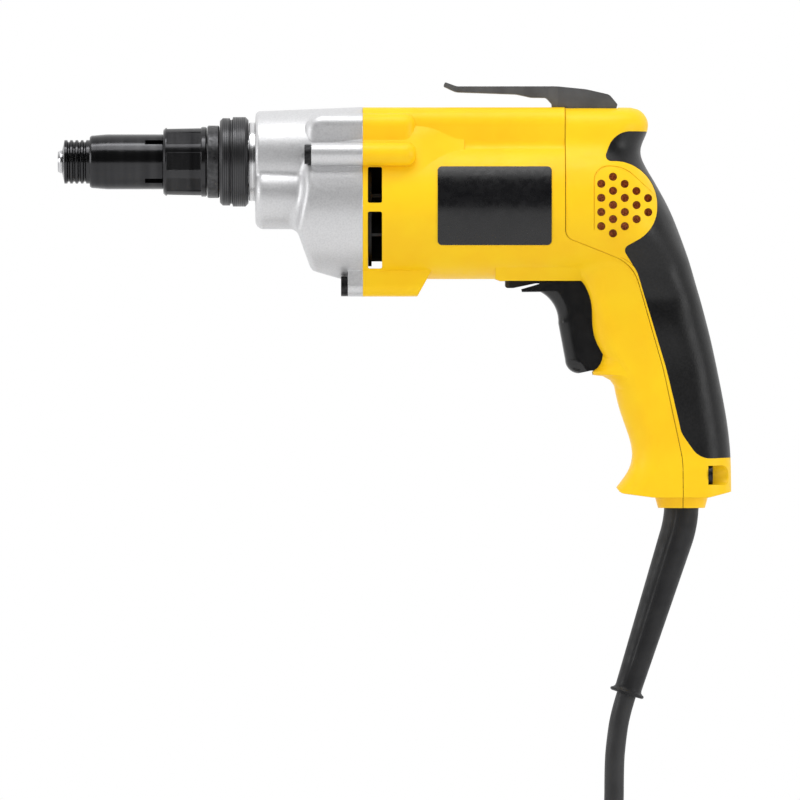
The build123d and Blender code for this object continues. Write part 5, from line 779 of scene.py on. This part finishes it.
tint(bright_steel, lathe_marks(bright_steel, width=0.0009), BRIGHT_DARK, BRIGHT_LIGHT)
sheen_range(bright_steel, lathe_marks(bright_steel, width=0.0006), glossy=0.16, matt=0.34)
relief(bright_steel, lathe_marks(bright_steel, width=0.0003, detail=1.0), height=0.00001, edge_round=0.0002)
dress(bright_steel, "front_spigot", "nose_tip_ring", "collar_retaining_ring")

# Spindle and clutch. Ground steel shafts and cut gears with an oiled face, in sintered bronze
# bushes; the spring that parts the clutch is plain drawn wire, and a magnet in the holder keeps
# the bit.
GEAR_DARK = (0.20, 0.20, 0.21, 1)
GEAR_LIGHT = (0.46, 0.46, 0.47, 1)
BRONZE_DARK = (0.28, 0.15, 0.06, 1)
BRONZE_LIGHT = (0.52, 0.32, 0.14, 1)
MAGNET_DARK = (0.05, 0.05, 0.055, 1)
MAGNET_LIGHT = (0.16, 0.16, 0.17, 1)
CLUTCH_AXIS_Z = 0.107
CLUTCH_SPRING_R = 0.0062
CLUTCH_WIRE = 0.0011
CLUTCH_SPRING_FRONT = -0.16995
CLUTCH_SPRING_SEAT = -0.1586
CLUTCH_SPRING_TURNS = 4
SPRING_STEPS = 28           # points in a turn
WIRE_BEVEL_STEPS = 3
WIRE_SMOOTH_BELOW = math.radians(50)

dress(bright_steel, "spindle", "bit_holder")
gear_steel = new_finish("gear_steel", GEAR_LIGHT, roughness=0.35, metallic=0.9)
tint(gear_steel, spots(gear_steel, width=0.0030, detail=5.0), GEAR_DARK, GEAR_LIGHT)
sheen_range(gear_steel, lathe_marks(gear_steel, width=0.0008), glossy=0.24, matt=0.46)
relief(gear_steel, spots(gear_steel, width=0.0005), height=0.00001, edge_round=0.0002)
dress(gear_steel, "clutch_gear", "idler_gear", "idler_pinion", "thrust_washer", "bit_retaining_ring")
sintered = new_finish("sintered_bronze", BRONZE_LIGHT, roughness=0.5, metallic=0.8)
tint(sintered, spots(sintered, width=0.0007, detail=5.0), BRONZE_DARK, BRONZE_LIGHT)
sheen_range(sintered, spots(sintered, width=0.0015), glossy=0.38, matt=0.60)
relief(sintered, spots(sintered, width=0.0004), height=0.00003, edge_round=0.0002)
dress(sintered, "spindle_front_bush", "spindle_rear_bush", "idler_front_bush", "idler_rear_bush")
magnet_grey = new_finish("magnet_grey", MAGNET_LIGHT, roughness=0.5, metallic=0.5)
tint(magnet_grey, spots(magnet_grey, width=0.0006, detail=5.0), MAGNET_DARK, MAGNET_LIGHT)
relief(magnet_grey, spots(magnet_grey, width=0.0004), height=0.00003)
dress(magnet_grey, "bit_magnet")
drawn_wire = new_finish("drawn_wire", GEAR_LIGHT, roughness=0.3, metallic=0.9)
tint(drawn_wire, spots(drawn_wire, width=0.0018, detail=4.0), GEAR_DARK, BRIGHT_LIGHT)
sheen_range(drawn_wire, spots(drawn_wire, width=0.0010), glossy=0.22, matt=0.40)


def wire_spring(name, node, axis_z, coil_r, wire, front, seat, turns):
    # a coil about X of round wire, from its front end to the seat behind it
    wire_curve = bpy.data.curves.new(name, "CURVE")
    wire_curve.dimensions = "3D"
    wire_curve.bevel_depth = wire / 2
    wire_curve.bevel_resolution = WIRE_BEVEL_STEPS
    wire_curve.use_fill_caps = True
    steps = turns * SPRING_STEPS
    helix = wire_curve.splines.new("POLY")
    helix.points.add(steps)
    for i, point in enumerate(helix.points):
        angle = 2 * math.pi * i / SPRING_STEPS
        along = front + wire / 2 + (seat - front - wire) * i / steps
        point.co = (along, coil_r * math.cos(angle), axis_z + coil_r * math.sin(angle), 1)
    coil = new_piece(name, wire_curve)
    bpy.ops.object.convert(target="MESH")
    bpy.ops.object.shade_smooth_by_angle(angle=WIRE_SMOOTH_BELOW)
    coil.data.materials.append(drawn_wire)
    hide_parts(node)
    return coil


clutch_coil = wire_spring(
    "clutch_coil", "clutch_spring", axis_z=CLUTCH_AXIS_Z, coil_r=CLUTCH_SPRING_R, wire=CLUTCH_WIRE,
    front=CLUTCH_SPRING_FRONT, seat=CLUTCH_SPRING_SEAT, turns=CLUTCH_SPRING_TURNS)
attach(clutch_coil, "clutch_driver")
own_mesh(clutch_coil)

# Motor. Stacks of thin iron sheet wound with varnished copper, a commutator of copper bars with
# two sprung carbon brushes in brass holders, ball bearings, and a black moulded fan behind its
# baffle.
SHEET = 0.0006              # of the stacks, and the width of the copper's turns
IRON_DARK = (0.10, 0.10, 0.105, 1)
IRON_LIGHT = (0.26, 0.26, 0.27, 1)
COPPER_DARK = (0.30, 0.085, 0.025, 1)
COPPER_LIGHT = (0.62, 0.24, 0.09, 1)
CARBON_DARK = (0.010, 0.010, 0.011, 1)
CARBON_LIGHT = (0.040, 0.040, 0.042, 1)
MOULDED_DARK = (0.0030, 0.0030, 0.0034, 1)
MOULDED_LIGHT = (0.0060, 0.0060, 0.0065, 1)

iron_stack = new_finish("iron_stack", IRON_LIGHT, roughness=0.45, metallic=0.7)
sheets = ribs(iron_stack, SHEET)
tint(iron_stack, sheets, IRON_DARK, IRON_LIGHT, low=0.15, high=0.6)
sheen_range(iron_stack, spots(iron_stack, width=0.004), glossy=0.36, matt=0.55)
relief(iron_stack, sheets, height=0.00008)
dress(iron_stack, "armature_core", "field_core")
copper_wire = new_finish("copper_wire", COPPER_LIGHT, roughness=0.32, metallic=0.85)
windings = ribs(copper_wire, SHEET, rings=True, wander=2.0)
tint(copper_wire, windings, COPPER_DARK, COPPER_LIGHT, low=0.15, high=0.7)
sheen_range(copper_wire, spots(copper_wire, width=0.002), glossy=0.24, matt=0.42)
relief(copper_wire, windings, height=0.00012)
dress(copper_wire, "armature_windings", "field_coils")
copper_bar = new_finish("copper_bar", COPPER_LIGHT, roughness=0.28, metallic=0.95)
brush_track = lathe_marks(copper_bar, width=0.0006)
tint(copper_bar, brush_track, COPPER_DARK, COPPER_LIGHT)
sheen_range(copper_bar, brush_track, glossy=0.20, matt=0.38)
dress(copper_bar, "commutator")
dress(bright_steel, "armature_shaft", "front_motor_bearing", "rear_motor_bearing")
dress(blade_brass, "brush_holders")
dress(drawn_wire, "brush_springs")
carbon_block = new_finish("carbon_block", CARBON_LIGHT, roughness=0.6)
tint(carbon_block, spots(carbon_block, width=0.0005, detail=5.0), CARBON_DARK, CARBON_LIGHT)
relief(carbon_block, spots(carbon_block, width=0.0004), height=0.00003, edge_round=0.0002)
dress(carbon_block, "carbon_brushes")
black_plastic = new_finish("black_plastic", MOULDED_LIGHT, roughness=0.42)
dull(black_plastic, level=0.35)
tint(black_plastic, spots(black_plastic, width=0.009, detail=4.0), MOULDED_DARK, MOULDED_LIGHT)
sheen_range(black_plastic, spots(black_plastic, width=0.0020, detail=3.0), glossy=0.34, matt=0.52)
relief(black_plastic, spots(black_plastic, width=0.0006), height=0.000025, edge_round=0.0004)
dress(black_plastic, "cooling_fan", "fan_baffle", "bearing_spider")

# Trigger, reversing lever and switch. Black moulded plastic, the trigger satin from handling; a
# wire spring pushes it out again. The switch and the clamp that holds the cord are hidden in the
# handle.
TRIGGER_STEM_Z = 0.030
TRIGGER_SPRING_R = 0.0046
TRIGGER_WIRE = 0.0008
TRIGGER_SPRING_FRONT = -0.03145
TRIGGER_SPRING_SEAT = -0.0140
TRIGGER_SPRING_TURNS = 6

satin_plastic = new_finish("satin_plastic", MOULDED_LIGHT, roughness=0.28)
tint(satin_plastic, spots(satin_plastic, width=0.007, detail=4.0), MOULDED_DARK, MOULDED_LIGHT)
sheen_range(satin_plastic, spots(satin_plastic, width=0.0030, detail=3.0), glossy=0.16, matt=0.22)
relief(satin_plastic, spots(satin_plastic, width=0.0008), height=0.000012, edge_round=0.0005)
dress(satin_plastic, "trigger")
dress(black_plastic, "reversing_lever", "switch_body", "cord_clamp")
trigger_coil = wire_spring(
    "trigger_coil", "trigger_spring", axis_z=TRIGGER_STEM_Z, coil_r=TRIGGER_SPRING_R, wire=TRIGGER_WIRE,
    front=TRIGGER_SPRING_FRONT, seat=TRIGGER_SPRING_SEAT, turns=TRIGGER_SPRING_TURNS)
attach(trigger_coil, "housing")
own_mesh(trigger_coil)
